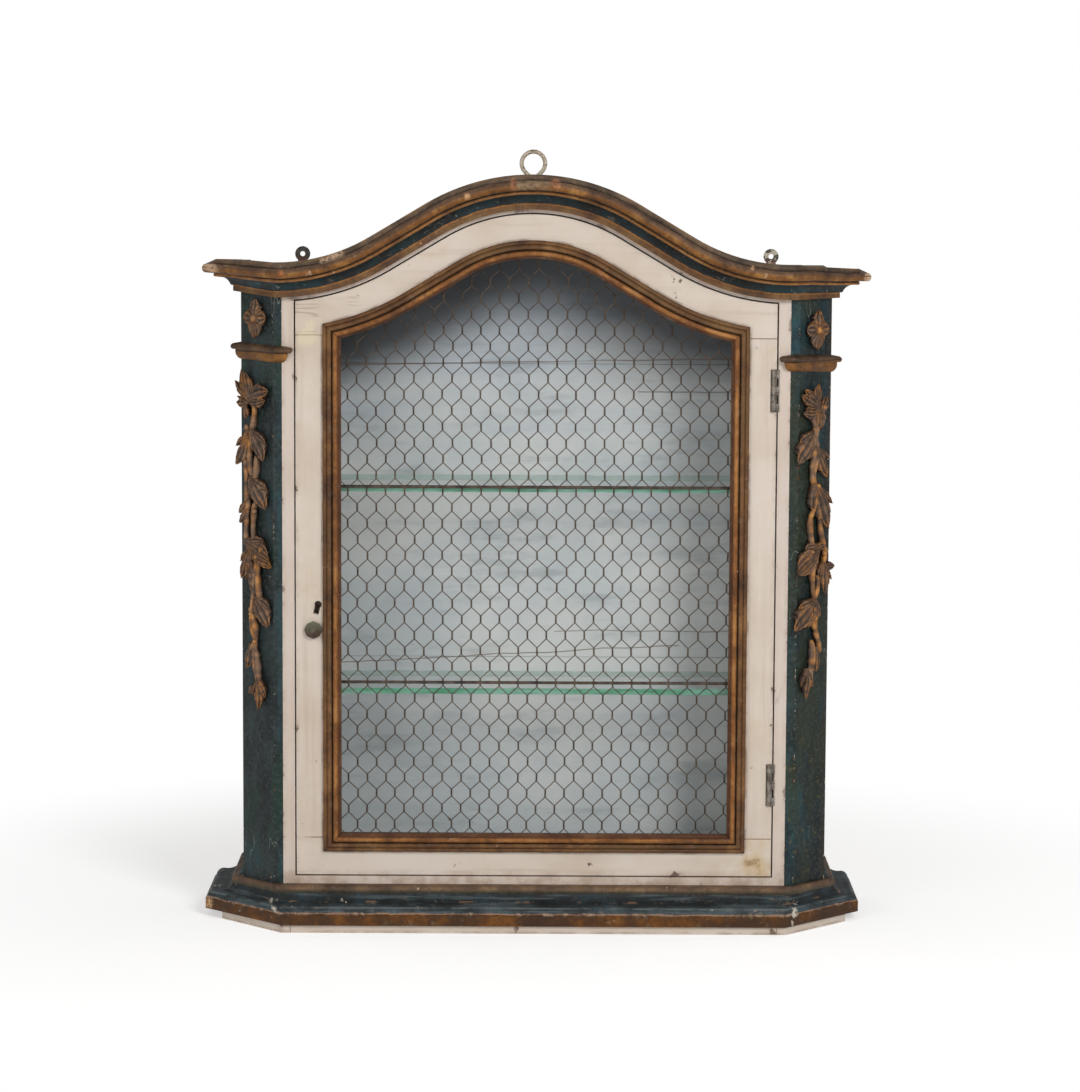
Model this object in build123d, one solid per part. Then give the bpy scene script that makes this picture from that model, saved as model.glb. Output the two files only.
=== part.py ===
from build123d import *
import os
from math import ceil, cos, radians, sin, sqrt, tan

# A wall-hung display case: a carcass of boards with canted front corners, an
# arched cornice and a base moulding, carved corner trim, and a door filled
# with hexagonal wire netting in front of two glass shelves.
#
# Millimetres. x runs to the right, y to the back and z up. The case stands on
# z = 0, x = 0 is its middle and y = 0 is the middle of the carcass's depth.

# ---- Carcass ----------------------------------------------------------------
CASE_WIDTH = 592.0
CASE_DEPTH = 156.0
CANT_WIDTH = 34.0
CANT_ANGLE = 45.0
POST_FACE = 9.0
POST_THICKNESS = 20.0
SIDE_THICKNESS = 14.0
PLANK_THICKNESS = 12.0
PLANK_SEAMS = (255.0, 561.0)
PLANK_SHRINKAGE = 0.4
FLOOR_TOP = 52.0
FLOOR_THICKNESS = 12.0
ROOF_THICKNESS = 7.0

# ---- Shared by every cut and every moulding ---------------------------------
# The margin is how far a cutting shape runs past what it cuts. The bend is how
# far along its height and its depth the middle of a moulding's curve lies.
MARGIN = 1.0
BEND = 0.3

# ---- Base board and base moulding -------------------------------------------
BASE_BOARD_THICKNESS = 8.0
BASE_BOARD_FRONT_INSET = 4.0
BASE_BOARD_SIDE_INSET = 14.0
BASE_PROJECTION = 36.0
BASE_PROJECTION_LEFT_SIDE = 40.0
BASE_PROJECTION_RIGHT_SIDE = 36.0
BASE_FASCIA = 12.0
BASE_ARRIS = 1.5
BASE_OVOLO = 6.8
BASE_OVOLO_PROJECTION = 27.0
BASE_HOLLOW = 9.2
BASE_BEAD = 7.5
BASE_BEAD_PROJECTION = 10.0
BASE_BEAD_SWELL = 2.0
BASE_BEAD_TAPER = 1.0
BASE_SIDE_COVE = 9.5
BASE_SIDE_COVE_EDGE = 1.0

# ---- Face frame and arch ----------------------------------------------------
FRAME_THICKNESS = 20.0
FRAME_STILE = 12.0
FRAME_ARCH_MARGIN = 3.2
ARCH_CENTRE_X = -4.0
ARCH_HALF_SPAN = 255.2
ARCH_CROWN_RADIUS = 173.0
ARCH_FOOT_RADIUS = 218.0
ARCH_SLOPE = 30.8
ARCH_FOOT_Z = 635.3

# ---- Cornice and capitals ---------------------------------------------------
CANT_MOULDING_SHARE = 0.52
CORNICE_PROJECTION = 40.0
CORNICE_FILLET = 6.5
CORNICE_FILLET_PROJECTION = 8.0
CORNICE_QUIRK = 2.5
CORNICE_COVE = 8.8
CORNICE_COVE_PROJECTION = 24.0
CORNICE_BEAD = 3.2
CORNICE_BEAD_PROJECTION = 27.5
CORNICE_BEAD_SWELL = 0.7
CORNICE_BEAD_TAPER = 0.5
CORNICE_STEP = 1.0
CORNICE_TORUS = 9.5
CORNICE_CAP = 5.5
CORNICE_CAP_PROJECTION = 28.0
CORNICE_CAP_ROUND = 3.0
CORNICE_WING_RISE_LEFT = 4.5
CORNICE_WING_RISE_RIGHT = 0.3
CORNICE_WING_HEIGHT_LEFT = 31.5
CORNICE_WING_HEIGHT_RIGHT = 29.0
ROOF_BELOW_CORNICE_TOP = 6.5
CAPITAL_EDGE = 1.0
CAPITAL_OVOLO = 9.0
CAPITAL_OVOLO_PROJECTION = 6.0
CAPITAL_STEP = 1.0
CAPITAL_LIP = 6.5
CAPITAL_NOSE = 2.3
CAPITAL_TOP_SET_BACK = 2.5
CAPITAL_TOP_FALL = 1.5
CAPITAL_PROJECTION = 11.0
CAPITAL_RETURN = 12.0
CAPITAL_TOP_LEFT = 587.0
CAPITAL_TOP_RIGHT = 580.5
CAPITAL_SIDE_RISE_LEFT = 1.4
CAPITAL_SIDE_RISE_RIGHT = -2.5

# ---- Door -------------------------------------------------------------------
DOOR_BOTTOM_Z = 53.0
DOOR_GAP = 1.6
DOOR_THICKNESS = 18.0
DOOR_STILE_FACE = 27.0
DOOR_TOP_FACE = 25.6
DOOR_BOTTOM_FACE = 24.0
DOOR_MOULDING_WIDTH = 18.0
DOOR_MOULDING_EDGE = 4.0
DOOR_MOULDING_EDGE_SWELL = 1.6
DOOR_MOULDING_EDGE_TAPER = 0.6
DOOR_MOULDING_TORUS = 5.4
DOOR_MOULDING_TORUS_HEIGHT = 6.6
DOOR_MOULDING_FLAT = 0.8
DOOR_MOULDING_BEAD = 5.2
DOOR_MOULDING_BEAD_HEIGHT = 8.2
DOOR_MOULDING_QUIRK = 3.6
DOOR_MOULDING_LIP = 4.0
DOOR_MOULDING_LIP_DEPTH = 8.0
DOOR_MOULDING_SIGHT_EDGE = 1.0
MITRE_OVERRUN = 0.1

# ---- Netting and its stay rods ----------------------------------------------
NETTING_THICKNESS = 1.2
NETTING_LAP = 6.0
NETTING_WIRE = 2.2
NETTING_PITCH = 38.0
NETTING_ROW = 32.6
NETTING_TWIST_LENGTH = 16.0
NETTING_LEAST_OPENING = 10.0
ROD_RADIUS = 1.5
ROD_HEIGHTS = (246.5, 445.0)
ROD_LAP = 10.0
STAPLE_WIRE = 1.4
STAPLE_CLEARANCE = 0.05

# ---- Shelves ----------------------------------------------------------------
SHELF_TOPS = (240.0, 445.5)
SHELF_THICKNESS = 6.0
SHELF_DOOR_CLEARANCE = 25.0
SHELF_SIDE_CLEARANCE = 1.5
BEARER_HEIGHT = 12.0
BEARER_WIDTH = 12.0
BEARER_LENGTH = 80.0

# ---- Hinges -----------------------------------------------------------------
HINGE_CENTRES = (146.5, 544.5)
HINGE_LENGTH = 42.0
HINGE_KNUCKLES = 5
HINGE_KNUCKLE_RADIUS = 2.6
HINGE_PIN_RADIUS = 1.2
HINGE_PIN_CLEARANCE = 0.05
HINGE_KNUCKLE_GAP = 0.2
HINGE_AXIS_INSET = 2.8
HINGE_AXIS_PROUD = 0.8
HINGE_LEAF_THICKNESS = 1.2
HINGE_LEAF_WIDTH = 14.0
HINGE_NOTCH_CLEARANCE = 0.9
HINGE_SCREW_RADIUS = 1.5
HINGE_SCREW_HEAD_RADIUS = 2.8
HINGE_SCREW_LENGTH = 9.0
HINGE_SCREW_SPREAD = 13.0
HINGE_SCREW_CLEARANCE = 0.1

# ---- Lock and knob ----------------------------------------------------------
KEYHOLE_X_FROM_EDGE = 22.0
KEYHOLE_Z = 327.8
KEYHOLE_RADIUS = 3.7
KEYHOLE_SLOT_WIDTH = 5.6
KEYHOLE_SLOT_DROP = 10.0
KEYHOLE_TILT = 14.0
LOCK_WIDTH = 32.0
LOCK_HEIGHT = 36.0
LOCK_THICKNESS = 9.0
LOCK_WALL = 1.6
BOLT_HEIGHT = 12.0
BOLT_THICKNESS = 4.0
BOLT_LENGTH = 24.0
BOLT_THROW = 8.0
BOLT_CLEARANCE = 0.3
BOLT_POCKET_EXTRA = 1.0
KNOB_X_FROM_EDGE = 17.4
KNOB_Z = 302.8
KNOB_RADIUS = 9.0
KNOB_BASE_RADIUS = 5.6
KNOB_RIM_HEIGHT = 5.0
KNOB_HEIGHT = 12.5
KNOB_CROWN_RADIUS = 2.2
KNOB_SIDES = 8
KNOB_PEG_RADIUS = 3.0
KNOB_PEG_CLEARANCE = 0.1

# ---- Hanging hardware -------------------------------------------------------
RING_RADIUS = 12.1
RING_WIRE_RADIUS = 2.2
RING_ARC = 270.0
RING_ABOVE_ROOF = 1.0
HANGER_THICKNESS = 2.0
HANGER_STRAP_WIDTH = 11.0
HANGER_STRAP_DROP = 34.0
PLATE_X = 242.0
PLATE_DISC_RADIUS = 7.8
PLATE_HOLE_RADIUS = 2.6
PLATE_ABOVE_ROOF = 8.5
PLATE_STRAP_WIDTH = 10.0
PLATE_STRAP_DROP = 24.0
HANGER_SCREW_RADIUS = 1.6
HANGER_SCREW_HEAD_RADIUS = 3.0
HANGER_SCREW_LENGTH = 10.0
HANGER_SCREW_CLEARANCE = 0.1

# ---- Carved trim ------------------------------------------------------------
CARVING_FACE_PARTS = 48
CARVING_THICKNESS = 9.0
CARVING_EDGE_THICKNESS = 7.0
CARVING_SWELL = 0.05
CARVING_CROWN = 1.5
STEM_THICKNESS = 6.0
STEM_WIDTH = 4.4
ROSETTE_Z_LEFT = 613.5
ROSETTE_Z_RIGHT = 604.5
ROSETTE_LOBE = 20.5
ROSETTE_SIDE_LOBE = 16.0
ROSETTE_LOBE_WIDTH = 17.0
ROSETTE_BOSS_RADIUS = 4.5
ROSETTE_INSET = 2.2

# ---- Values worked out from the sizes above ---------------------------------
HALF_WIDTH = CASE_WIDTH / 2
FRONT_Y = -CASE_DEPTH / 2
BACK_Y = CASE_DEPTH / 2
CANT = radians(CANT_ANGLE)
CANT_DEPTH = CANT_WIDTH * tan(CANT)
CORNER_X = HALF_WIDTH - CANT_WIDTH
CORNER_Y = FRONT_Y + CANT_DEPTH
FRAME_HALF_WIDTH = CORNER_X - POST_FACE
OPENING_HALF_WIDTH = FRAME_HALF_WIDTH - FRAME_STILE
FRAME_BACK_Y = FRONT_Y + FRAME_THICKNESS
INSIDE_HALF_WIDTH = HALF_WIDTH - SIDE_THICKNESS
PLANK_FRONT_Y = BACK_Y - PLANK_THICKNESS
BASE_TOP = BASE_BOARD_THICKNESS

CORNICE_TORUS_FOOT = CORNICE_FILLET + CORNICE_COVE + CORNICE_BEAD + CORNICE_STEP
CORNICE_CAP_FOOT = CORNICE_TORUS_FOOT + CORNICE_TORUS
CORNICE_HEIGHT = CORNICE_CAP_FOOT + CORNICE_CAP
CAPITAL_HEIGHT = CAPITAL_OVOLO + CAPITAL_STEP + CAPITAL_LIP
CARVING_UNIT = CANT_WIDTH / cos(CANT) / CARVING_FACE_PARTS
ROOF_OFFSET = CORNICE_HEIGHT - ROOF_BELOW_CORNICE_TOP
ROOF_UNDER_OFFSET = ROOF_OFFSET - ROOF_THICKNESS

DOOR_HALF_WIDTH = OPENING_HALF_WIDTH - DOOR_GAP
DOOR_BACK_Y = FRONT_Y + DOOR_THICKNESS
DOOR_TOP_OFFSET = -FRAME_ARCH_MARGIN - DOOR_GAP
MOULDING_OUTER_OFFSET = DOOR_TOP_OFFSET - DOOR_TOP_FACE
MOULDING_OUTER_X = DOOR_HALF_WIDTH - DOOR_STILE_FACE
MOULDING_OUTER_Z = DOOR_BOTTOM_Z + DOOR_BOTTOM_FACE
SIGHT_OFFSET = MOULDING_OUTER_OFFSET - DOOR_MOULDING_WIDTH
SIGHT_X = MOULDING_OUTER_X - DOOR_MOULDING_WIDTH
SIGHT_Z = MOULDING_OUTER_Z + DOOR_MOULDING_WIDTH
WOOD_OFFSET = SIGHT_OFFSET + DOOR_MOULDING_LIP
WOOD_X = SIGHT_X + DOOR_MOULDING_LIP
WOOD_Z = SIGHT_Z - DOOR_MOULDING_LIP
NETTING_BACK_Y = DOOR_BACK_Y + NETTING_THICKNESS

HINGE_X = DOOR_HALF_WIDTH - HINGE_AXIS_INSET
HINGE_Y = FRONT_Y - HINGE_AXIS_PROUD

# A mitre runs straight out from a corner of the case. Its direction, per
# millimetre of projection, follows from how far each run stands out.
FRONT_MITRE = ((CANT_MOULDING_SHARE - cos(CANT)) / sin(CANT), -1.0)
SIDE_MITRE = (1.0, (sin(CANT) - CANT_MOULDING_SHARE) / cos(CANT))

FAR = 2 * CASE_WIDTH
SIDES = {"left": -1, "right": 1}
CORNICE_WING_RISE = {-1: CORNICE_WING_RISE_LEFT, 1: CORNICE_WING_RISE_RIGHT}
CORNICE_WING_HEIGHT = {-1: CORNICE_WING_HEIGHT_LEFT, 1: CORNICE_WING_HEIGHT_RIGHT}
BASE_SIDE_PROJECTION = {-1: BASE_PROJECTION_LEFT_SIDE, 1: BASE_PROJECTION_RIGHT_SIDE}
CAPITAL_SIDE_RISE = {-1: CAPITAL_SIDE_RISE_LEFT, 1: CAPITAL_SIDE_RISE_RIGHT}


# ---- General helpers --------------------------------------------------------
def block(x0, x1, y0, y1, z0, z1):
    """A straight board between two opposite corners."""
    middle = ((x0 + x1) / 2, (y0 + y1) / 2, (z0 + z1) / 2)
    return Pos(*middle) * Box(abs(x1 - x0), abs(y1 - y0), abs(z1 - z0))


def outline(points):
    """The flat shape inside a closed run of straight lines."""
    return make_face(Polyline(*points, close=True))


def plan_prism(points, z0, z1):
    """A plan outline, drawn in x and y, raised from z0 to z1."""
    return extrude(Pos(0, 0, z0) * outline(points), z1 - z0, dir=(0, 0, 1))


def front_prism(sketch, y_back, thickness):
    """A front view, drawn in x and z, made into a board facing the front."""
    return extrude(Plane.XZ.offset(-y_back) * sketch, thickness, dir=(0, -1, 0))


def on_side(part, side):
    """A part drawn for the right side, on the side asked for."""
    return part if side > 0 else mirror(part, about=Plane.YZ)


def rod_x(x0, x1, y, z, radius):
    """A round bar along x."""
    return Pos((x0 + x1) / 2, y, z) * Rot(0, 90, 0) * Cylinder(radius, abs(x1 - x0))


def rod_y(x, y0, y1, z, radius):
    """A round bar along y."""
    return Pos(x, (y0 + y1) / 2, z) * Rot(90, 0, 0) * Cylinder(radius, abs(y1 - y0))


def rod_z(x, y, z0, z1, radius):
    """A round bar along z."""
    return Pos(x, y, (z0 + z1) / 2) * Cylinder(radius, z1 - z0)


def screw(head_radius, shank_radius, length):
    """A countersunk screw without its thread, head flush at z = 0, pointing down."""
    head_depth = head_radius - shank_radius
    section = [
        (0, 0),
        (head_radius, 0),
        (shank_radius, -head_depth),
        (shank_radius, -length + shank_radius),
        (0, -length),
    ]
    return revolve(Plane.XZ * outline(section), Axis.Z)


# ---- The arch ---------------------------------------------------------------
# One serpentine line sets every arch of the case: a crown arc, a straight run
# down each side and a foot arc that turns level. The other arches lie parallel
# to it. The offset is counted outwards from the cornice's lower edge.
SLOPE = radians(ARCH_SLOPE)
ARCH_STRAIGHT = (
    ARCH_HALF_SPAN - (ARCH_CROWN_RADIUS + ARCH_FOOT_RADIUS) * sin(SLOPE)
) / cos(SLOPE)
ARCH_RISE = (ARCH_CROWN_RADIUS + ARCH_FOOT_RADIUS) * (1 - cos(SLOPE)) + ARCH_STRAIGHT * sin(SLOPE)
CROWN_CENTRE_Z = ARCH_FOOT_Z + ARCH_RISE - ARCH_CROWN_RADIUS
FOOT_CENTRE_Z = ARCH_FOOT_Z + ARCH_FOOT_RADIUS


def arch_height(offset, x):
    """The height of the arch at one offset and one place across the front."""
    across = abs(x - ARCH_CENTRE_X)
    crown = ARCH_CROWN_RADIUS + offset
    foot = ARCH_FOOT_RADIUS - offset
    if across >= ARCH_HALF_SPAN:
        return ARCH_FOOT_Z + offset
    if across <= crown * sin(SLOPE):
        return CROWN_CENTRE_Z + sqrt(crown**2 - across**2)
    from_foot = ARCH_HALF_SPAN - across
    if from_foot <= foot * sin(SLOPE):
        return FOOT_CENTRE_Z - sqrt(foot**2 - from_foot**2)
    start_z = CROWN_CENTRE_Z + crown * cos(SLOPE)
    return start_z - (across - crown * sin(SLOPE)) * tan(SLOPE)


def arch_line(offset, x0, x1):
    """The arch as lines and arcs in x and z, from x0 to x1 beyond both feet."""
    crown = ARCH_CROWN_RADIUS + offset
    foot = ARCH_FOOT_RADIUS - offset
    half = SLOPE / 2

    def at_foot(side, angle):
        x = ARCH_CENTRE_X + side * (ARCH_HALF_SPAN - foot * sin(angle))
        return (x, FOOT_CENTRE_Z - foot * cos(angle))

    def at_crown(side, angle):
        return (ARCH_CENTRE_X + side * crown * sin(angle), CROWN_CENTRE_Z + crown * cos(angle))

    return (
        Line((x0, ARCH_FOOT_Z + offset), at_foot(-1, 0))
        + ThreePointArc(at_foot(-1, 0), at_foot(-1, half), at_foot(-1, SLOPE))
        + Line(at_foot(-1, SLOPE), at_crown(-1, SLOPE))
        + ThreePointArc(at_crown(-1, SLOPE), at_crown(-1, 0), at_crown(1, SLOPE))
        + Line(at_crown(1, SLOPE), at_foot(1, SLOPE))
        + ThreePointArc(at_foot(1, SLOPE), at_foot(1, half), at_foot(1, 0))
        + Line(at_foot(1, 0), (x1, ARCH_FOOT_Z + offset))
    )


def under_arch(offset, half_width, z0):
    """The flat shape below one arch, between two upright edges and above z0."""
    foot_z = ARCH_FOOT_Z + offset
    below = min(z0, foot_z) - MARGIN
    closing = Polyline((-FAR, foot_z), (-FAR, below), (FAR, below), (FAR, foot_z))
    whole = make_face(arch_line(offset, -FAR, FAR) + closing)
    crown_z = CROWN_CENTRE_Z + ARCH_CROWN_RADIUS + offset
    top = crown_z + MARGIN
    window = Pos(0, (z0 + top) / 2) * Rectangle(2 * half_width, top - z0)
    return whole & window


def below_roof(part):
    """A carcass piece with its top cut to the underside of the roof."""
    space = front_prism(under_arch(ROOF_UNDER_OFFSET, HALF_WIDTH, 0), BACK_Y, CASE_DEPTH)
    return part & space


# ---- Carcass boards ---------------------------------------------------------
def case_plan():
    """The carcass in plan, with its canted front corners."""
    right = [(CORNER_X, FRONT_Y), (HALF_WIDTH, CORNER_Y), (HALF_WIDTH, BACK_Y)]
    left = [(-x, y) for x, y in reversed(right)]
    return right + left


def base_board():
    """The board under everything, a little inside the base moulding."""
    out = BASE_PROJECTION - BASE_BOARD_FRONT_INSET
    side_x = HALF_WIDTH + BASE_PROJECTION - BASE_BOARD_SIDE_INSET
    front_x = CORNER_X + out * FRONT_MITRE[0]
    front_y = FRONT_Y - out
    right = [(front_x, front_y), (side_x, front_y + (side_x - front_x) * tan(CANT)), (side_x, BACK_Y)]
    left = [(-x, y) for x, y in reversed(right)]
    return plan_prism(right + left, 0, BASE_BOARD_THICKNESS)


def post_inner_x(y):
    """Where the back of a canted corner post lies at one depth."""
    return CORNER_X - POST_THICKNESS / sin(CANT) + (y - FRONT_Y) / tan(CANT)


def corner_post(side):
    """The canted board at a front corner, with a narrow strip facing the front."""
    inner_y = FRONT_Y + (FRAME_HALF_WIDTH - post_inner_x(FRONT_Y)) * tan(CANT)
    points = [
        (FRAME_HALF_WIDTH, FRONT_Y),
        (CORNER_X, FRONT_Y),
        (HALF_WIDTH, CORNER_Y),
        (post_inner_x(CORNER_Y), CORNER_Y),
        (FRAME_HALF_WIDTH, inner_y),
    ]
    return on_side(below_roof(plan_prism(points, BASE_TOP, FAR)), side)


def side_board(side):
    """An upright side between the corner post and the wall."""
    board = block(INSIDE_HALF_WIDTH, HALF_WIDTH, CORNER_Y, BACK_Y, BASE_TOP, FAR)
    return on_side(below_roof(board), side)


def floor_board():
    """The board that closes the inside below the door's lower edge."""
    front_x = post_inner_x(FRAME_BACK_Y)
    corner_x = post_inner_x(CORNER_Y)
    right = [
        (front_x, FRAME_BACK_Y),
        (corner_x, CORNER_Y),
        (INSIDE_HALF_WIDTH, CORNER_Y),
        (INSIDE_HALF_WIDTH, PLANK_FRONT_Y),
    ]
    left = [(-x, y) for x, y in reversed(right)]
    return plan_prism(right + left, FLOOR_TOP - FLOOR_THICKNESS, FLOOR_TOP)


def roof_board():
    """A thin board bent over the serpentine tops of the other boards."""
    upper = under_arch(ROOF_OFFSET, HALF_WIDTH, ARCH_FOOT_Z)
    lower = under_arch(ROOF_UNDER_OFFSET, HALF_WIDTH + MARGIN, ARCH_FOOT_Z - MARGIN)
    return front_prism(upper - lower, BACK_Y, CASE_DEPTH) & plan_prism(case_plan(), 0, FAR)


def back_planks():
    """Three level planks that close the back, with narrow seams between them."""
    levels = [BASE_TOP, *PLANK_SEAMS, FAR]
    planks = []
    for low, high in zip(levels[:-1], levels[1:]):
        top = high - PLANK_SHRINKAGE
        plank = block(-INSIDE_HALF_WIDTH, INSIDE_HALF_WIDTH, PLANK_FRONT_Y, BACK_Y, low, top)
        planks.append(below_roof(plank))
    return planks


# ---- Face frame -------------------------------------------------------------
def frame_stile(side):
    """The narrow upright beside the door."""
    board = block(OPENING_HALF_WIDTH, FRAME_HALF_WIDTH, FRONT_Y, FRAME_BACK_Y, BASE_TOP, FAR)
    return on_side(below_roof(board), side)


def frame_rail_top():
    """The arched rail over the door, mostly hidden behind the cornice."""
    opening_offset = -FRAME_ARCH_MARGIN
    lowest = ARCH_FOOT_Z + opening_offset - MARGIN
    above = under_arch(ROOF_UNDER_OFFSET, OPENING_HALF_WIDTH, lowest)
    below = under_arch(opening_offset, OPENING_HALF_WIDTH + MARGIN, lowest - MARGIN)
    return front_prism(above - below, FRAME_BACK_Y, FRAME_THICKNESS)


def frame_rail_bottom():
    """The level rail under the door."""
    top = DOOR_BOTTOM_Z - DOOR_GAP
    return block(-OPENING_HALF_WIDTH, OPENING_HALF_WIDTH, FRONT_Y, FRAME_BACK_Y, BASE_TOP, top)


# ---- Moulding sections ------------------------------------------------------
# A section starts on the case's face. Its first number is the projection and
# its second the height, or the distance across a moulding that lies flat. Each
# step is one point, for a straight edge, or a middle and an end, for an arc.
def section(start, steps, reach=1.0, height=1.0):
    """A closed moulding section, drawn out or squashed by its two shares."""
    edges = []
    here = start
    for step in steps:
        points = [(out * reach, up * height) for out, up in (here, *step)]
        edges.append(ThreePointArc(*points) if len(step) == 2 else Line(*points))
        here = step[-1]
    edges.append(Line((here[0] * reach, here[1] * height), (start[0] * reach, start[1] * height)))
    return make_face(edges)


def base_section(reach=1.0, height=1.0, cove=0.0):
    """Fascia, ovolo, hollow and bead, with a cove above where one is asked for."""
    nose = BASE_PROJECTION
    fascia = BASE_TOP + BASE_FASCIA
    ovolo = fascia + BASE_OVOLO
    hollow = ovolo + BASE_HOLLOW
    top = hollow + BASE_BEAD
    out = BASE_OVOLO_PROJECTION
    bead = BASE_BEAD_PROJECTION
    taper = BASE_BEAD_TAPER
    edge = nose - BASE_ARRIS
    steps = [
        [(nose, BASE_TOP)],
        [(nose, fascia - BASE_ARRIS)],
        [(edge, fascia)],
        [(edge - (edge - out) * BEND, ovolo - BASE_OVOLO * BEND), (out, ovolo)],
        [(bead + (out - bead) * BEND, ovolo + BASE_HOLLOW * BEND), (bead, hollow)],
        [(bead - taper / 2 + BASE_BEAD_SWELL, (hollow + top) / 2), (bead - taper, top)],
    ]
    if cove > 0:
        steps.append([(bead * BEND, top + cove * BEND), (BASE_SIDE_COVE_EDGE, top + cove)])
    steps.append([(0, top + cove)])
    return section((0, BASE_TOP), steps, reach, height)


def cornice_section(reach=1.0, height=1.0, capped=True):
    """Fillet, cove, bead and torus, under a cap on the runs that show from below."""
    fillet = CORNICE_FILLET_PROJECTION
    quirk = fillet + CORNICE_QUIRK
    cove = CORNICE_FILLET + CORNICE_COVE
    cove_out = CORNICE_COVE_PROJECTION
    bead = cove + CORNICE_BEAD
    bead_out = CORNICE_BEAD_PROJECTION
    foot = CORNICE_TORUS_FOOT
    torus = CORNICE_CAP_FOOT
    flat = CORNICE_PROJECTION - CORNICE_TORUS / 2
    cap = CORNICE_CAP_PROJECTION
    rounding = CORNICE_CAP_ROUND
    steps = [
        [(fillet, 0)],
        [(fillet, CORNICE_FILLET)],
        [(quirk, CORNICE_FILLET)],
        [(quirk + (cove_out - quirk) * BEND, cove - CORNICE_COVE * BEND), (cove_out, cove)],
        [(bead_out - CORNICE_BEAD_TAPER, cove)],
        [(bead_out + CORNICE_BEAD_SWELL, (cove + bead) / 2), (bead_out, bead)],
        [(bead_out, foot)],
        [(flat, foot)],
        [(CORNICE_PROJECTION, (foot + torus) / 2), (flat, torus)],
    ]
    if capped:
        top = CORNICE_HEIGHT
        steps.append([(cap, torus)])
        steps.append([(cap, top - rounding)])
        steps.append([(cap - rounding * BEND, top - rounding * BEND), (cap - rounding, top)])
        steps.append([(0, top)])
    else:
        steps.append([(0, torus)])
    return section((0, 0), steps, reach, height)


def capital_section(reach=1.0, height=1.0):
    """An ovolo under a lip with a sloping top."""
    edge = CAPITAL_EDGE
    ovolo = CAPITAL_OVOLO
    out = CAPITAL_OVOLO_PROJECTION
    lip = CAPITAL_PROJECTION
    lip_foot = ovolo + CAPITAL_STEP
    top = CAPITAL_HEIGHT
    steps = [
        [(edge, 0)],
        [(out - (out - edge) * BEND, ovolo * BEND), (out, ovolo)],
        [(out + CAPITAL_STEP, lip_foot)],
        [(lip, lip_foot + CAPITAL_NOSE), (lip - CAPITAL_TOP_SET_BACK, top - CAPITAL_TOP_FALL)],
        [(0, top)],
    ]
    return section((0, 0), steps, reach, height)


def door_moulding_section():
    """Outer edge, torus and inner bead, with the lip that goes into the rebate."""
    wide = DOOR_MOULDING_WIDTH
    edge = wide - DOOR_MOULDING_EDGE
    torus = edge - DOOR_MOULDING_TORUS
    bead = torus - DOOR_MOULDING_FLAT
    bead_end = bead - DOOR_MOULDING_BEAD
    quirk = DOOR_MOULDING_QUIRK
    taper = DOOR_MOULDING_EDGE_TAPER
    lip = DOOR_MOULDING_LIP
    depth = DOOR_MOULDING_LIP_DEPTH
    steps = [
        [(0, wide)],
        [(quirk - taper, wide)],
        [(quirk + DOOR_MOULDING_EDGE_SWELL, (wide + edge) / 2), (quirk + taper, edge)],
        [(DOOR_MOULDING_TORUS_HEIGHT, (edge + torus) / 2), (quirk, torus)],
        [(quirk, bead)],
        [(DOOR_MOULDING_BEAD_HEIGHT, (bead + bead_end) / 2), (quirk, bead_end)],
        [(DOOR_MOULDING_SIGHT_EDGE, 0)],
        [(-depth, 0)],
        [(-depth, lip)],
    ]
    return section((0, lip), steps)


# ---- Moulding runs ----------------------------------------------------------
def front_plane(x, z, slope=0.0):
    """Section plane of a run that goes to the right, rising at a slope."""
    direction = (-cos(slope), 0, -sin(slope))
    return Plane(origin=(x, FRONT_Y, z), x_dir=(0, -1, 0), z_dir=direction)


def side_plane(z):
    """Section plane for a run along the right side."""
    return Plane(origin=(HALF_WIDTH, 0, z), x_dir=(1, 0, 0), z_dir=(0, -1, 0))


def mitre_point(corner, mitre, out):
    """A point on a mitre, at one projection from its corner."""
    return (corner[0] + out * mitre[0], corner[1] + out * mitre[1])


def front_space(out):
    """The plan space in front of the case, between the two front mitres."""
    right = [(CORNER_X, FRONT_Y), mitre_point((CORNER_X, FRONT_Y), FRONT_MITRE, out)]
    left = [(-x, y) for x, y in reversed(right)]
    return plan_prism(right + left, -FAR, FAR)


def side_space(out, y_end):
    """The plan space outside the right side, from its mitre back to y_end."""
    corner = (HALF_WIDTH, CORNER_Y)
    tip = mitre_point(corner, SIDE_MITRE, out)
    points = [corner, tip, (tip[0], y_end), (HALF_WIDTH, y_end)]
    return plan_prism(points, -FAR, FAR)


def front_run(shape, z, out):
    """A level run along the front, between its mitres."""
    return extrude(front_plane(0, z) * shape, FAR, both=True) & front_space(out)


def side_run(shape, z, out, y_end):
    """A level run along the right side, from its mitre back to y_end."""
    return extrude(side_plane(z) * shape, FAR, both=True) & side_space(out, y_end)


def cant_run(make_section, front_z, side_z, side_reach=1.0, side_height=1.0):
    """A run over the right canted face, changing evenly from mitre to mitre."""
    sections = []
    for share in (0, 0.5, 1):
        corner = (CORNER_X + share * CANT_WIDTH, FRONT_Y + share * CANT_DEPTH)
        out_x = (1 - share) * FRONT_MITRE[0] + share * side_reach * SIDE_MITRE[0]
        out_y = (1 - share) * FRONT_MITRE[1] + share * side_reach * SIDE_MITRE[1]
        z = front_z + share * (side_z - front_z)
        plane = Plane(origin=(*corner, z), x_dir=(out_x, out_y, 0), z_dir=(out_y, -out_x, 0))
        height = 1 + share * (side_height - 1)
        sections.append(plane * make_section(sqrt(out_x**2 + out_y**2), height))
    return loft(sections, ruled=True)


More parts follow.
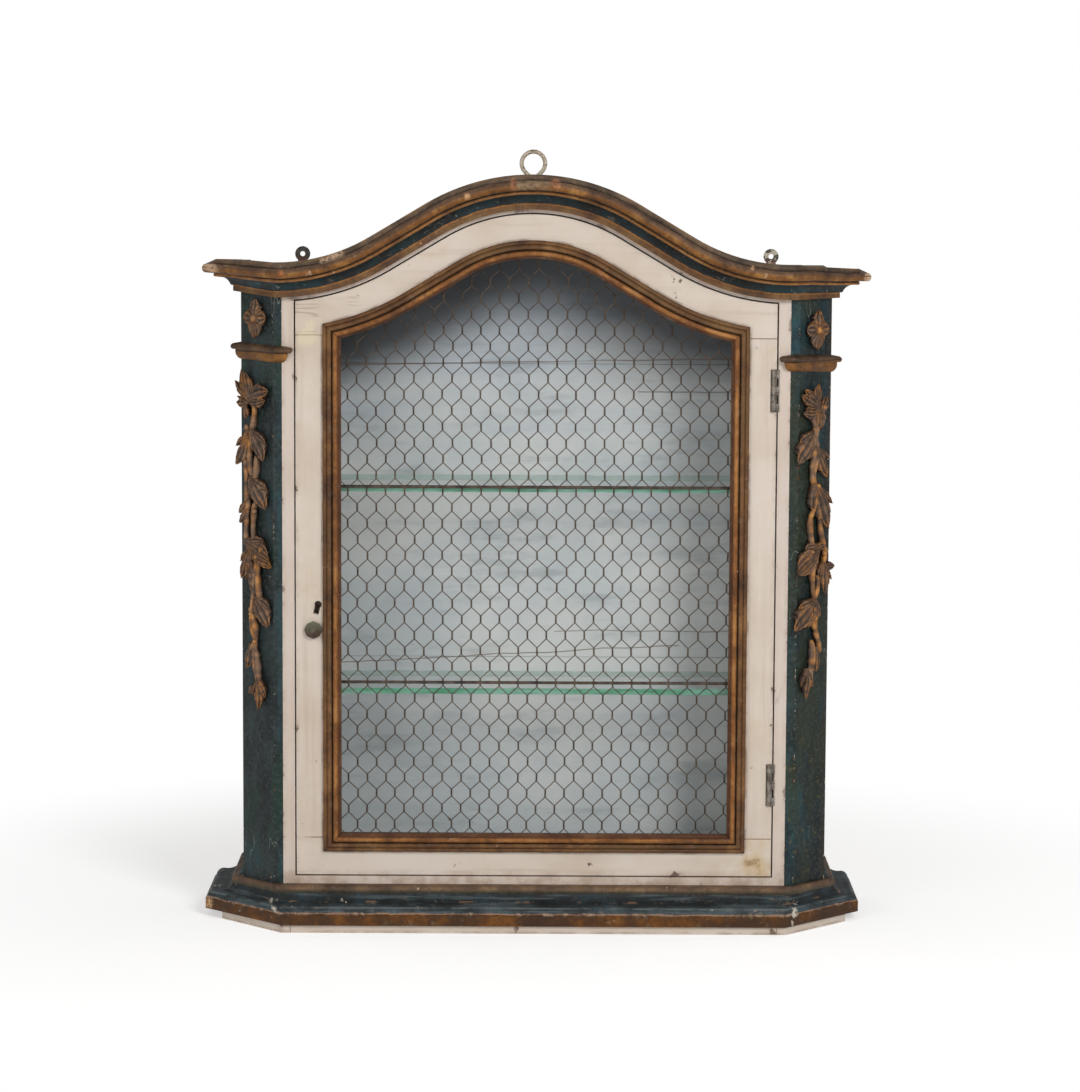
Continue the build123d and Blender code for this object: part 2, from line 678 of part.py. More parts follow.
def arch_run(shape, offset, reach):
    """A section carried along one arch, past both feet to the reach asked for."""
    crown = ARCH_CROWN_RADIUS + offset
    foot = ARCH_FOOT_RADIUS - offset
    foot_x = ARCH_CENTRE_X - ARCH_HALF_SPAN
    level = reach - ARCH_HALF_SPAN
    bend_x = foot_x + foot * sin(SLOPE)
    bend_z = FOOT_CENTRE_Z - foot * cos(SLOPE)
    crown_x = ARCH_CENTRE_X - crown * sin(SLOPE)
    crown_z = CROWN_CENTRE_Z + crown * cos(SLOPE)
    at_foot = front_plane(foot_x, ARCH_FOOT_Z + offset) * shape
    at_bend = front_plane(bend_x, bend_z, SLOPE) * shape
    at_crown = front_plane(crown_x, crown_z, SLOPE) * shape
    foot_axis = Axis((foot_x, FRONT_Y, FOOT_CENTRE_Z), (0, -1, 0))
    crown_axis = Axis((ARCH_CENTRE_X, FRONT_Y, CROWN_CENTRE_Z), (0, 1, 0))
    half = extrude(at_foot, level, dir=(-1, 0, 0))
    half = half + revolve(at_foot, foot_axis, ARCH_SLOPE)
    half = half + extrude(at_bend, ARCH_STRAIGHT, dir=(cos(SLOPE), 0, sin(SLOPE)))
    half = half + revolve(at_crown, crown_axis, ARCH_SLOPE)
    return half + mirror(half, about=Plane.YZ.offset(ARCH_CENTRE_X))


def base_mouldings():
    """The five mitred lengths of base moulding."""
    out = BASE_PROJECTION + MARGIN
    parts = {"base_moulding_front": front_run(base_section(), 0, out)}
    for name, side in SIDES.items():
        share = BASE_SIDE_PROJECTION[side] / BASE_PROJECTION
        corner = cant_run(base_section, 0, 0, share)
        length = side_run(base_section(share, cove=BASE_SIDE_COVE), 0, out * share, BACK_Y)
        parts[f"base_moulding_corner_{name}"] = on_side(corner, side)
        parts[f"base_moulding_side_{name}"] = on_side(length, side)
    return parts


def cornice_mouldings():
    """The arched front length of the cornice and its four mitred returns."""
    out = CORNICE_PROJECTION + MARGIN
    arch = arch_run(cornice_section(), 0, CORNER_X + out)
    parts = {"cornice_front": arch & front_space(out)}
    for name, side in SIDES.items():
        z = ARCH_FOOT_Z + CORNICE_WING_RISE[side]
        share = CORNICE_WING_HEIGHT[side] / CORNICE_HEIGHT
        corner = cant_run(cornice_section, ARCH_FOOT_Z, z, side_height=share)
        length = side_run(cornice_section(height=share, capped=False), z, out, BACK_Y)
        parts[f"cornice_corner_{name}"] = on_side(corner, side)
        parts[f"cornice_side_{name}"] = on_side(length, side)
    return parts


def capital(side, top_z):
    """The three mitred lengths of a capital, with a return at the inner end."""
    z = top_z - CAPITAL_HEIGHT
    side_z = z + CAPITAL_SIDE_RISE[side]
    out = CAPITAL_PROJECTION + MARGIN
    inner = (FRAME_HALF_WIDTH, FRONT_Y)
    corner = (CORNER_X, FRONT_Y)
    inner_tip = (inner[0] - out, inner[1] - out)
    front_plan = [inner, corner, mitre_point(corner, FRONT_MITRE, out), inner_tip]
    return_plan = [inner, inner_tip, (inner_tip[0], FRONT_Y)]
    front = extrude(front_plane(0, z) * capital_section(), FAR, both=True)
    inner_plane = Plane(origin=(*inner, z), x_dir=(-1, 0, 0), z_dir=(0, 1, 0))
    ending = extrude(inner_plane * capital_section(), FAR, both=True)
    front = front & plan_prism(front_plan, -FAR, FAR)
    front = front + (ending & plan_prism(return_plan, -FAR, FAR))
    over_cant = cant_run(capital_section, z, side_z)
    back = side_run(capital_section(), side_z, out, CORNER_Y + CAPITAL_RETURN)
    return Compound(children=[on_side(length, side) for length in (front, over_cant, back)])


# ---- Carved trim ------------------------------------------------------------
def cant_face(side, z):
    """The plane of a canted face at one height: u to the viewer's right, v up."""
    middle_x = (CORNER_X + HALF_WIDTH) / 2 * side
    middle_y = (FRONT_Y + CORNER_Y) / 2
    return Plane(
        origin=(middle_x, middle_y, z),
        x_dir=(cos(CANT), side * sin(CANT), 0),
        z_dir=(side * sin(CANT), -cos(CANT), 0),
    )


def leaf(u, v, length, width, angle):
    """A crowned leaf, its stalk end at u and v, pointing at an angle from up."""
    half = length / 2
    thickness = CARVING_EDGE_THICKNESS + CARVING_SWELL * length
    blade = make_face(
        ThreePointArc((0, 0), (-width / 2, half), (0, length))
        + ThreePointArc((0, length), (width / 2, half), (0, 0))
    )
    radius = (width**2 / 4 + thickness**2) / (2 * thickness) * CARVING_CROWN
    crown = Pos(0, half, thickness - radius) * Rot(90, 0, 0) * Cylinder(radius, 2 * length)
    return Pos(u, v, 0) * Rot(0, 0, -angle) * (extrude(blade, thickness) & crown)


def stem(start, end, bow):
    """A flat curved stem from one point to another, bowed sideways."""
    chord = Vector(*end) - Vector(*start)
    across = Vector(-chord.Y, chord.X).normalized()
    middle = (Vector(*start) + Vector(*end)) * 0.5 + across * bow
    half = STEM_WIDTH / 2
    rim = across * half
    a, b, m = Vector(*start), Vector(*end), middle
    shape = make_face(
        ThreePointArc(a + rim, m + rim, b + rim)
        + Line(b + rim, b - rim)
        + ThreePointArc(b - rim, m - rim, a - rim)
        + Line(a - rim, a + rim)
    )
    return extrude(shape, STEM_THICKNESS)


def rosette(side, z):
    """Four leaves round a boss, planted on a corner post above its capital."""
    shape = Pos(0, 0, CARVING_THICKNESS / 2) * Cylinder(ROSETTE_BOSS_RADIUS, CARVING_THICKNESS)
    for angle, length in zip((0, 90, 180, 270), 2 * (ROSETTE_LOBE, ROSETTE_SIDE_LOBE)):
        shape = shape + leaf(0, 0, length, ROSETTE_LOBE_WIDTH, angle)
    return cant_face(side, z) * Pos(-side * ROSETTE_INSET, 0) * shape


# Each leaf is (u, v, length, width, angle from up) and each stem is (start,
# end, bow). They lie on the canted face, counted from its middle and from the
# foot of the capital, and their unit is a forty-eighth of that face's width.
LEFT_LEAVES = (
    (-4, -41, 35, 15, -23),
    (-3, -41, 32, 10, -50),
    (-4, -39, 22, 10, -99),
    (-9, -37, 33, 14, 75),
    (-7, -42, 25, 9, 82),
    (-12, -43, 15, 7, -180),
    (-8, -73, 37, 14, -149),
    (-3, -68, 36, 16, 150),
    (-5, -115, 40, 19, 143),
    (-8, -138, 22, 9, -135),
    (-8, -148, 21, 9, -137),
    (-15, -181, 44, 19, 114),
    (1, -198, 27, 9, 105),
    (-5, -189, 34, 11, -155),
    (-4, -202, 32, 10, 178),
    (1, -236, 37, 18, 145),
    (-6, -284, 27, 12, -166),
    (5, -325, 19, 7, -125),
    (5, -317, 34, 11, 178),
)
LEFT_STEMS = (
    ((-1, -39), (-4, -71), 3),
    ((-7, -67), (-15, -92), -3),
    ((-4, -69), (-3, -119), -3),
    ((3, -94), (0, -119), 2),
    ((-14, -98), (-13, -181), 3),
    ((3, -139), (1, -185), -4),
    ((6, -199), (8, -240), -2),
    ((2, -194), (-4, -241), 2),
    ((-4, -238), (-5, -258), 1),
    ((-3, -253), (2, -283), -3),
    ((-4, -253), (0, -281), 3),
    ((0, -279), (-12, -298), 2),
    ((2, -277), (9, -331), -5),
    ((0, -286), (2, -332), 4),
)
RIGHT_LEAVES = (
    (-2, -37, 25, 10, 3),
    (3, -37, 32, 11, -65),
    (1, -38, 30, 9, -47),
    (4, -40, 27, 9, -93),
    (0, -35, 25, 18, 172),
    (-7, -60, 40, 18, -143),
    (-4, -75, 38, 13, 150),
    (-6, -113, 51, 19, 154),
    (3, -175, 21, 9, -95),
    (-2, -178, 16, 9, 82),
    (3, -180, 41, 21, -125),
    (11, -191, 35, 13, 176),
    (11, -197, 17, 8, 95),
    (-1, -229, 44, 19, -132),
    (1, -231, 22, 12, -173),
    (2, -278, 26, 14, -178),
    (-13, -299, 32, 7, -178),
)
RIGHT_STEMS = (
    ((-6, -49), (-7, -74), 2),
    ((-1, -54), (1, -82), -2),
    ((-7, -69), (-8, -99), 2),
    ((-7, -87), (-2, -118), -3),
    ((2, -82), (-3, -118), -4),
    ((-5, -116), (-10, -149), 4),
    ((-9, -146), (-3, -182), -3),
    ((3, -120), (12, -179), -3),
    ((2, -206), (-5, -237), 3),
    ((12, -176), (11, -195), 1),
    ((-5, -194), (1, -237), -3),
    ((2, -237), (9, -278), -6),
    ((-8, -247), (8, -285), 2),
    ((-5, -271), (-11, -321), 4),
    ((-6, -279), (-13, -315), 3),
)


def garland(side, top_z, leaves, stems):
    """A hanging chain of leaves and crossing stems below a capital."""
    unit = CARVING_UNIT
    pieces = []
    for u, v, length, width, angle in leaves:
        pieces.append(leaf(u * unit, v * unit, length * unit, width * unit, angle))
    for start, end, bow in stems:
        scaled = [(u * unit, v * unit) for u, v in (start, end)]
        pieces.append(stem(*scaled, bow * unit))
    shape = pieces[0]
    for piece in pieces[1:]:
        shape = shape + piece
    return cant_face(side, top_z - CAPITAL_HEIGHT) * shape


# ---- Door wood --------------------------------------------------------------
def hinge_notches():
    """The room cut in the door's edge for the knuckles and the door leaves."""
    notches = []
    for centre in HINGE_CENTRES:
        low = centre - HINGE_LENGTH / 2
        high = centre + HINGE_LENGTH / 2
        reach = HINGE_KNUCKLE_RADIUS + HINGE_NOTCH_CLEARANCE
        gap = HINGE_KNUCKLE_GAP
        notches.append(rod_z(HINGE_X, HINGE_Y, low - gap, high + gap, reach))
        x0, x1 = DOOR_HALF_WIDTH - HINGE_LEAF_THICKNESS, DOOR_HALF_WIDTH + MARGIN
        notches.append(block(x0, x1, HINGE_Y, HINGE_Y + HINGE_LEAF_WIDTH, low, high))
    return notches


def door_stile(side):
    """An upright of the door between its two through rails."""
    top = arch_height(WOOD_OFFSET, side * WOOD_X)
    x0, x1 = side * WOOD_X, side * DOOR_HALF_WIDTH
    return block(min(x0, x1), max(x0, x1), FRONT_Y, DOOR_BACK_Y, WOOD_Z, top)


def keyhole_shape():
    """The keyhole: a round top over a slot, cut slightly askew by hand."""
    slot = Pos(0, -KEYHOLE_SLOT_DROP / 2) * Rectangle(KEYHOLE_SLOT_WIDTH, KEYHOLE_SLOT_DROP)
    place = Pos(-DOOR_HALF_WIDTH + KEYHOLE_X_FROM_EDGE, KEYHOLE_Z) * Rot(0, 0, -KEYHOLE_TILT)
    return place * (Circle(KEYHOLE_RADIUS) + slot)


def lock_space():
    """The outside corners of the lock case, as x0, x1, y0, y1, z0 and z1."""
    x0 = -DOOR_HALF_WIDTH
    return (
        x0,
        x0 + LOCK_WIDTH,
        DOOR_BACK_Y - LOCK_THICKNESS,
        DOOR_BACK_Y,
        KEYHOLE_Z - LOCK_HEIGHT / 2,
        KEYHOLE_Z + LOCK_HEIGHT / 2,
    )


def lock_stile():
    """The left upright, cut for the lock, its keyhole and the knob's peg."""
    body = door_stile(-1)
    body = body - block(*lock_space())
    body = body - front_prism(keyhole_shape(), DOOR_BACK_Y, DOOR_THICKNESS)
    peg = KNOB_PEG_RADIUS + KNOB_PEG_CLEARANCE
    knob_x = -DOOR_HALF_WIDTH + KNOB_X_FROM_EDGE
    return body - rod_y(knob_x, FRONT_Y - MARGIN, DOOR_BACK_Y + MARGIN, KNOB_Z, peg)


def hinge_stile():
    """The right upright, cut for both hinges."""
    body = door_stile(1)
    for notch in hinge_notches():
        body = body - notch
    return body - hinge_screw_holes("door")


def door_rail_top():
    """The arched through rail of the door."""
    left_joint = arch_height(WOOD_OFFSET, -WOOD_X)
    right_joint = arch_height(WOOD_OFFSET, WOOD_X)
    lowest = min(left_joint, right_joint)
    shape = under_arch(DOOR_TOP_OFFSET, DOOR_HALF_WIDTH, lowest)
    opening = under_arch(WOOD_OFFSET, WOOD_X, lowest - MARGIN)
    shape = shape - opening
    for side, joint in ((-1, left_joint), (1, right_joint)):
        if joint > lowest:
            middle_x = side * (WOOD_X + DOOR_HALF_WIDTH) / 2
            width = DOOR_HALF_WIDTH - WOOD_X
            stile_end = Pos(middle_x, (lowest + joint) / 2) * Rectangle(width, joint - lowest)
            shape = shape - stile_end
    return front_prism(shape, DOOR_BACK_Y, DOOR_THICKNESS)


def door_rail_bottom():
    """The level through rail of the door."""
    return block(-DOOR_HALF_WIDTH, DOOR_HALF_WIDTH, FRONT_Y, DOOR_BACK_Y, DOOR_BOTTOM_Z, WOOD_Z)


# ---- Door moulding ----------------------------------------------------------
def stretched(inner, outer):
    """A mitre drawn on past both of its ends, by a share of its length."""
    dx = MITRE_OVERRUN * (outer[0] - inner[0])
    dz = MITRE_OVERRUN * (outer[1] - inner[1])
    return (inner[0] - dx, inner[1] - dz), (outer[0] + dx, outer[1] + dz)


def upper_mitre(side):
    """The mitre under the arch on one side, bent a little at the wood's corner."""
    inner = (side * SIGHT_X, arch_height(SIGHT_OFFSET, side * SIGHT_X))
    wood = (side * WOOD_X, arch_height(WOOD_OFFSET, side * WOOD_X))
    outer = (side * MOULDING_OUTER_X, arch_height(MOULDING_OUTER_OFFSET, side * MOULDING_OUTER_X))
    return [stretched(inner, wood)[0], wood, stretched(wood, outer)[1]]


def door_mouldings():
    """The four mitred lengths of moulding round the sight opening."""
    reach = DOOR_MOULDING_BEAD_HEIGHT + DOOR_MOULDING_LIP_DEPTH + 2 * MARGIN
    back_y = FRONT_Y + DOOR_MOULDING_LIP_DEPTH + MARGIN
    shape = door_moulding_section()
    parts = {}
    lower = {}
    upper = {}
    for name, side in SIDES.items():
        inner = (side * SIGHT_X, SIGHT_Z)
        outer = (side * MOULDING_OUTER_X, MOULDING_OUTER_Z)
        lower[name] = stretched(inner, outer)
        upper[name] = upper_mitre(side)
    for name, side in SIDES.items():
        plane = Plane(origin=(side * SIGHT_X, FRONT_Y, 0), x_dir=(0, -1, 0), z_dir=(0, 0, side))
        upright = extrude(plane * shape, FAR, both=True)
        space = outline([*lower[name], *reversed(upper[name])])
        parts[f"door_moulding_{name}"] = upright & front_prism(space, back_y, reach)
    plane = Plane(origin=(0, FRONT_Y, SIGHT_Z), x_dir=(0, -1, 0), z_dir=(1, 0, 0))
    level = extrude(plane * shape, FAR, both=True)
    space = outline([lower["left"][0], lower["right"][0], lower["right"][1], lower["left"][1]])
    parts["door_moulding_bottom"] = level & front_prism(space, back_y, reach)
    arch = arch_run(shape, SIGHT_OFFSET, ARCH_HALF_SPAN + MARGIN)
    crown = CROWN_CENTRE_Z + ARCH_CROWN_RADIUS + MOULDING_OUTER_OFFSET + MARGIN
    right_x, left_x = upper["right"][-1][0], upper["left"][-1][0]
    space = outline([*upper["right"], (right_x, crown), (left_x, crown), *reversed(upper["left"])])
    parts["door_moulding_top"] = arch & front_prism(space, back_y, reach)
    return parts


# ---- Netting and rods -------------------------------------------------------
def netting():
    """Hexagonal netting as a thin pierced sheet, lapped behind the door wood."""
    lap = NETTING_LAP
    sheet = under_arch(WOOD_OFFSET + lap, WOOD_X + lap, WOOD_Z - lap)
    sight = under_arch(WOOD_OFFSET, WOOD_X, WOOD_Z)
    wire = NETTING_WIRE / 2
    slant = (NETTING_ROW - NETTING_TWIST_LENGTH) / (NETTING_PITCH / 2)
    stretch = sqrt(1 + slant**2)
    half = NETTING_PITCH / 2 - wire
    shoulder = NETTING_TWIST_LENGTH / 2 - wire * (stretch - slant)
    tip = NETTING_ROW - NETTING_TWIST_LENGTH / 2 - wire * stretch
    right = [(0, -tip), (half, -shoulder), (half, shoulder)]
    cell = outline(right + [(-x, -z) for x, z in right])
    crown_z = CROWN_CENTRE_Z + ARCH_CROWN_RADIUS + SIGHT_OFFSET
    rows = ceil((crown_z - WOOD_Z) / NETTING_ROW) + 1
    columns = ceil(WOOD_X / NETTING_PITCH) + 1
    holes = []
    for row in range(rows + 1):
        z = WOOD_Z + row * NETTING_ROW
        shift = NETTING_PITCH / 2 * (row % 2)
        for column in range(-columns, columns + 1):
            x = column * NETTING_PITCH + shift
            inside = cell_opening(cell, x, z, half, tip, sight)
            holes.extend(inside)
    wires = [hole.outer_wire() for hole in holes]
    pierced = Face(sheet.face().outer_wire(), wires)
    return front_prism(pierced, NETTING_BACK_Y, NETTING_THICKNESS)


def cell_opening(cell, x, z, half, tip, sight):
    """One netting cell at its place, cut off where the door's wood begins."""
    placed = Pos(x, z) * cell
    corners = [(x + sx * half, z + sz * tip) for sx in (-1, 1) for sz in (-1, 1)]
    clear = [
        abs(cx) < WOOD_X and cz > WOOD_Z and cz < arch_height(SIGHT_OFFSET, cx) for cx, cz in corners
    ]
    if all(clear):
        return [placed.face()]
    if z - tip > CROWN_CENTRE_Z + ARCH_CROWN_RADIUS + SIGHT_OFFSET:
        return []
    cut = placed & sight
    if cut is None:
        return []
    return [face for face in cut.faces() if face.area > NETTING_LEAST_OPENING]


def stay_rod(z):
    """A rod across the back of the netting, at a shelf's height."""
    reach = WOOD_X + ROD_LAP
    return rod_x(-reach, reach, NETTING_BACK_Y + ROD_RADIUS, z, ROD_RADIUS)


def rod_staples():
    """Four wire staples that hold the rods' ends to the door's stiles."""
    staples = []
    top_y = NETTING_BACK_Y + 2 * ROD_RADIUS
    for side in (-1, 1):
        x = side * (WOOD_X + (NETTING_LAP + ROD_LAP) / 2)
        for z in ROD_HEIGHTS:
            x0, x1 = x - STAPLE_WIRE / 2, x + STAPLE_WIRE / 2
            gap = ROD_RADIUS + STAPLE_CLEARANCE
            reach = gap + STAPLE_WIRE
            staple = block(x0, x1, top_y, top_y + STAPLE_WIRE, z - reach, z + reach)
            for sign in (-1, 1):
                leg = block(x0, x1, DOOR_BACK_Y, top_y, z + sign * gap, z + sign * reach)
                staple = staple + leg
            staples.append(staple)
    return staples


# ---- Shelves ----------------------------------------------------------------
def shelf_plan():
    """A glass shelf in plan, its front corners cut to clear the corner posts."""
    front_y = FRONT_Y + SHELF_DOOR_CLEARANCE
    side_x = INSIDE_HALF_WIDTH - SHELF_SIDE_CLEARANCE
    front_x = post_inner_x(front_y) - SHELF_SIDE_CLEARANCE / sin(CANT)
    cut_y = front_y + (side_x - front_x) * tan(CANT)
    right = [(front_x, front_y), (side_x, cut_y), (side_x, PLANK_FRONT_Y - SHELF_SIDE_CLEARANCE)]
    left = [(-x, y) for x, y in reversed(right)]
    return right + left


def shelf(top):
    """A loose glass shelf."""
    return plan_prism(shelf_plan(), top - SHELF_THICKNESS, top)


def shelf_bearers(top):
    """The two wooden strips on the sides that carry one shelf."""
    high = top - SHELF_THICKNESS
    back = PLANK_FRONT_Y - SHELF_SIDE_CLEARANCE
    bearer = block(
        INSIDE_HALF_WIDTH - BEARER_WIDTH,
        INSIDE_HALF_WIDTH,
        back - BEARER_LENGTH,
        back,
        high - BEARER_HEIGHT,
        high,
    )
    return [bearer, on_side(bearer, -1)]


# ---- Hinges -----------------------------------------------------------------
def knuckle_levels(centre):
    """The ends of each knuckle of one hinge, from its foot up."""
    pitch = HINGE_LENGTH / HINGE_KNUCKLES
    low = centre - HINGE_LENGTH / 2
    half_gap = HINGE_KNUCKLE_GAP / 2
    return [
        (low + number * pitch + half_gap, low + (number + 1) * pitch - half_gap)
        for number in range(HINGE_KNUCKLES)
    ]


def hinge_frame_leaf(centre):
    """The leaf let into the face frame, with the outer and middle knuckles."""
    low, high = centre - HINGE_LENGTH / 2, centre + HINGE_LENGTH / 2
    x0, x1 = OPENING_HALF_WIDTH, OPENING_HALF_WIDTH + HINGE_LEAF_THICKNESS
    back_y = HINGE_Y + HINGE_LEAF_WIDTH
    strap_y = HINGE_Y + HINGE_LEAF_THICKNESS / 2
    body = block(x0, x1, strap_y, back_y, low, high)
    for z0, z1 in knuckle_levels(centre)[::2]:
        body = body + rod_z(HINGE_X, HINGE_Y, z0, z1, HINGE_KNUCKLE_RADIUS)
        body = body + block(HINGE_X, x1, HINGE_Y - HINGE_LEAF_THICKNESS / 2, strap_y, z0, z1)
    body = body - rod_z(HINGE_X, HINGE_Y, low - MARGIN, high + MARGIN, HINGE_PIN_RADIUS)
    return body - leaf_screw_seats(centre, x0, -1)


def hinge_door_leaf(centre):
    """The leaf let into the door's edge, with the knuckles in between."""
    low, high = centre - HINGE_LENGTH / 2, centre + HINGE_LENGTH / 2
    x1 = DOOR_HALF_WIDTH
    x0 = x1 - HINGE_LEAF_THICKNESS
    back_y = HINGE_Y + HINGE_LEAF_WIDTH
    clear_y = HINGE_Y + HINGE_KNUCKLE_RADIUS + HINGE_NOTCH_CLEARANCE
    body = block(x0, x1, clear_y, back_y, low, high)
    for z0, z1 in knuckle_levels(centre)[1::2]:
        body = body + rod_z(HINGE_X, HINGE_Y, z0, z1, HINGE_KNUCKLE_RADIUS)
        body = body + block(x0, x1, HINGE_Y, clear_y, z0, z1)
    bore = HINGE_PIN_RADIUS + HINGE_PIN_CLEARANCE
    body = body - rod_z(HINGE_X, HINGE_Y, low - MARGIN, high + MARGIN, bore)
    return body - leaf_screw_seats(centre, x1, 1)


def hinge_pin(centre):
    """The pin, as long as the hinge and held by the frame's knuckles."""
    levels = knuckle_levels(centre)
    return rod_z(HINGE_X, HINGE_Y, levels[0][0], levels[-1][1], HINGE_PIN_RADIUS)


def hinge_screw_places(centre):
    """The depth and the heights of the screws in one leaf."""
    y = HINGE_Y + (HINGE_KNUCKLE_RADIUS + HINGE_NOTCH_CLEARANCE + HINGE_LEAF_WIDTH) / 2
    return [(y, centre - HINGE_SCREW_SPREAD), (y, centre + HINGE_SCREW_SPREAD)]


def hinge_screw(x, y, z, side, extra=0.0):
    """A screw driven into an edge from x, to the left or to the right."""
    head, shank = HINGE_SCREW_HEAD_RADIUS + extra, HINGE_SCREW_RADIUS + extra
    return Pos(x, y, z) * Rot(0, 90 * side, 0) * screw(head, shank, HINGE_SCREW_LENGTH + extra)


def leaf_screw_seats(centre, x, side):
    """The countersunk holes of one leaf."""
    seats = Part()
    for y, z in hinge_screw_places(centre):
        seats = seats + hinge_screw(x, y, z, side)
    return seats


def hinge_screws(where):
    """The screws of both leaves on the frame or on the door."""
    x, side = (OPENING_HALF_WIDTH, -1) if where == "frame" else (DOOR_HALF_WIDTH, 1)
    places = [place for centre in HINGE_CENTRES for place in hinge_screw_places(centre)]
    return [hinge_screw(x, y, z, side) for y, z in places]


def hinge_screw_holes(where):
    """The pilot holes that the same screws need in the wood."""
    x, side = (OPENING_HALF_WIDTH, -1) if where == "frame" else (DOOR_HALF_WIDTH, 1)
    holes = Part()
    for centre in HINGE_CENTRES:
        for y, z in hinge_screw_places(centre):
            holes = holes + hinge_screw(x, y, z, side, HINGE_SCREW_CLEARANCE)
    return holes


def hinge_frame_stile():
    """The right upright of the face frame, let in for the frame's leaves."""
    body = frame_stile(1)
    for centre in HINGE_CENTRES:
        low, high = centre - HINGE_LENGTH / 2, centre + HINGE_LENGTH / 2
        x0, x1 = OPENING_HALF_WIDTH - MARGIN, OPENING_HALF_WIDTH + HINGE_LEAF_THICKNESS
        body = body - block(x0, x1, HINGE_Y, HINGE_Y + HINGE_LEAF_WIDTH, low, high)
    return body - hinge_screw_holes("frame")


# ---- Lock and knob ----------------------------------------------------------
def bolt_space(extra, x0, x1):
    """The room that the bolt takes between two places across the door."""
    y = DOOR_BACK_Y - LOCK_THICKNESS / 2
    z = KEYHOLE_Z + LOCK_HEIGHT / 4
    half_y, half_z = BOLT_THICKNESS / 2 + extra, BOLT_HEIGHT / 2 + extra
    return block(x0, x1, y - half_y, y + half_y, z - half_z, z + half_z)


def lock_case():
    """The iron lock case, let into the back of the lock stile."""
    x0, x1, y0, y1, z0, z1 = lock_space()
    body = block(x0, x1, y0, y1, z0, z1)
    body = body - bolt_space(BOLT_CLEARANCE, x0 - MARGIN, x0 + BOLT_LENGTH + MARGIN)
    y_key = y1 - LOCK_WALL
    return body - front_prism(keyhole_shape(), y_key, y_key - y0 + MARGIN)


def lock_bolt():
    """The bolt, drawn back flush with the case."""
    x0 = -DOOR_HALF_WIDTH
    return bolt_space(0, x0, x0 + BOLT_LENGTH)


def lock_frame_stile():
    """The left upright of the face frame, with the pocket for the bolt."""
    x1 = -OPENING_HALF_WIDTH
    x0 = x1 - BOLT_THROW + DOOR_GAP - BOLT_POCKET_EXTRA
    return frame_stile(-1) - bolt_space(BOLT_CLEARANCE, x0, x1 + MARGIN)


def knob():
    """A faceted pull knob on a peg through the lock stile."""
    x = -DOOR_HALF_WIDTH + KNOB_X_FROM_EDGE
    face = Plane(origin=(x, FRONT_Y, KNOB_Z), x_dir=(1, 0, 0), z_dir=(0, -1, 0))

    def ring(radius, height):
        return face * Pos(0, 0, height) * RegularPolygon(radius, KNOB_SIDES)

    rim = ring(KNOB_RADIUS, KNOB_RIM_HEIGHT)
    lower = loft([ring(KNOB_BASE_RADIUS, 0), rim], ruled=True)
    upper = loft([rim, ring(KNOB_CROWN_RADIUS, KNOB_HEIGHT)], ruled=True)
    peg = rod_y(x, FRONT_Y, DOOR_BACK_Y, KNOB_Z, KNOB_PEG_RADIUS)
    return lower + upper + peg


# ---- Hanging hardware -------------------------------------------------------
def hanger_screw_at(x, z):
    """A screw through a strap into the back, its head flush with the strap."""
    body = screw(HANGER_SCREW_HEAD_RADIUS, HANGER_SCREW_RADIUS, HANGER_SCREW_LENGTH)
    return Pos(x, BACK_Y + HANGER_THICKNESS, z) * Rot(-90, 0, 0) * body


def ring_centre_z():
    """The middle of the hanging loop, which stands just above the roof."""
    roof_z = arch_height(ROOF_OFFSET, ARCH_CENTRE_X)
    return roof_z + RING_ABOVE_ROOF + RING_RADIUS + RING_WIRE_RADIUS


def hanging_loop():
    """A bent iron loop, its ends drawn together on a strap behind the top plank."""
    z = ring_centre_z()
    y = BACK_Y + HANGER_THICKNESS - RING_WIRE_RADIUS
    gap = radians(360 - RING_ARC) / 2
    wire = Circle(RING_WIRE_RADIUS)
    end_x, end_z = RING_RADIUS * sin(gap), -RING_RADIUS * cos(gap)
    leg = RING_RADIUS * tan(gap)
    loop = Plane(origin=(ARCH_CENTRE_X, y, z), x_dir=(1, 0, 0), z_dir=(0, -1, 0))
    start = Plane(origin=(end_x, end_z, 0), x_dir=(0, 0, 1), z_dir=(cos(gap), sin(gap), 0))
    bend = revolve(start * wire, Axis.Z, RING_ARC)
    right = extrude(start * wire, leg, dir=(-cos(gap), -sin(gap), 0))
    ring = loop * (bend + right + mirror(right, about=Plane.YZ))
    roof_z = arch_height(ROOF_OFFSET, ARCH_CENTRE_X)
    low = roof_z - HANGER_STRAP_DROP
    wide = RING_RADIUS + RING_WIRE_RADIUS
    x0, x1 = ARCH_CENTRE_X - wide, ARCH_CENTRE_X + wide
    near = BACK_Y - 2 * RING_WIRE_RADIUS
    ring = ring - block(x0, x1, near, BACK_Y, low, roof_z + RING_ABOVE_ROOF)
    half = HANGER_STRAP_WIDTH / 2
    x0, x1 = ARCH_CENTRE_X - half, ARCH_CENTRE_X + half
    body = ring + block(x0, x1, BACK_Y, BACK_Y + HANGER_THICKNESS, low, z - RING_RADIUS)
    for x, screw_z in loop_screws():
        body = body - hanger_screw_at(x, screw_z)
    return body


def loop_screws():
    """The places of the two screws in the loop's strap."""
    roof_z = arch_height(ROOF_OFFSET, ARCH_CENTRE_X)
    first = roof_z - ROOF_THICKNESS - HANGER_STRAP_WIDTH / 2
    last = roof_z - HANGER_STRAP_DROP + HANGER_STRAP_WIDTH / 2
    return [(ARCH_CENTRE_X, first), (ARCH_CENTRE_X, last)]


def plate_centre_z(x):
    """The middle of a hanging plate's eye."""
    return arch_height(ROOF_OFFSET, x) + PLATE_ABOVE_ROOF


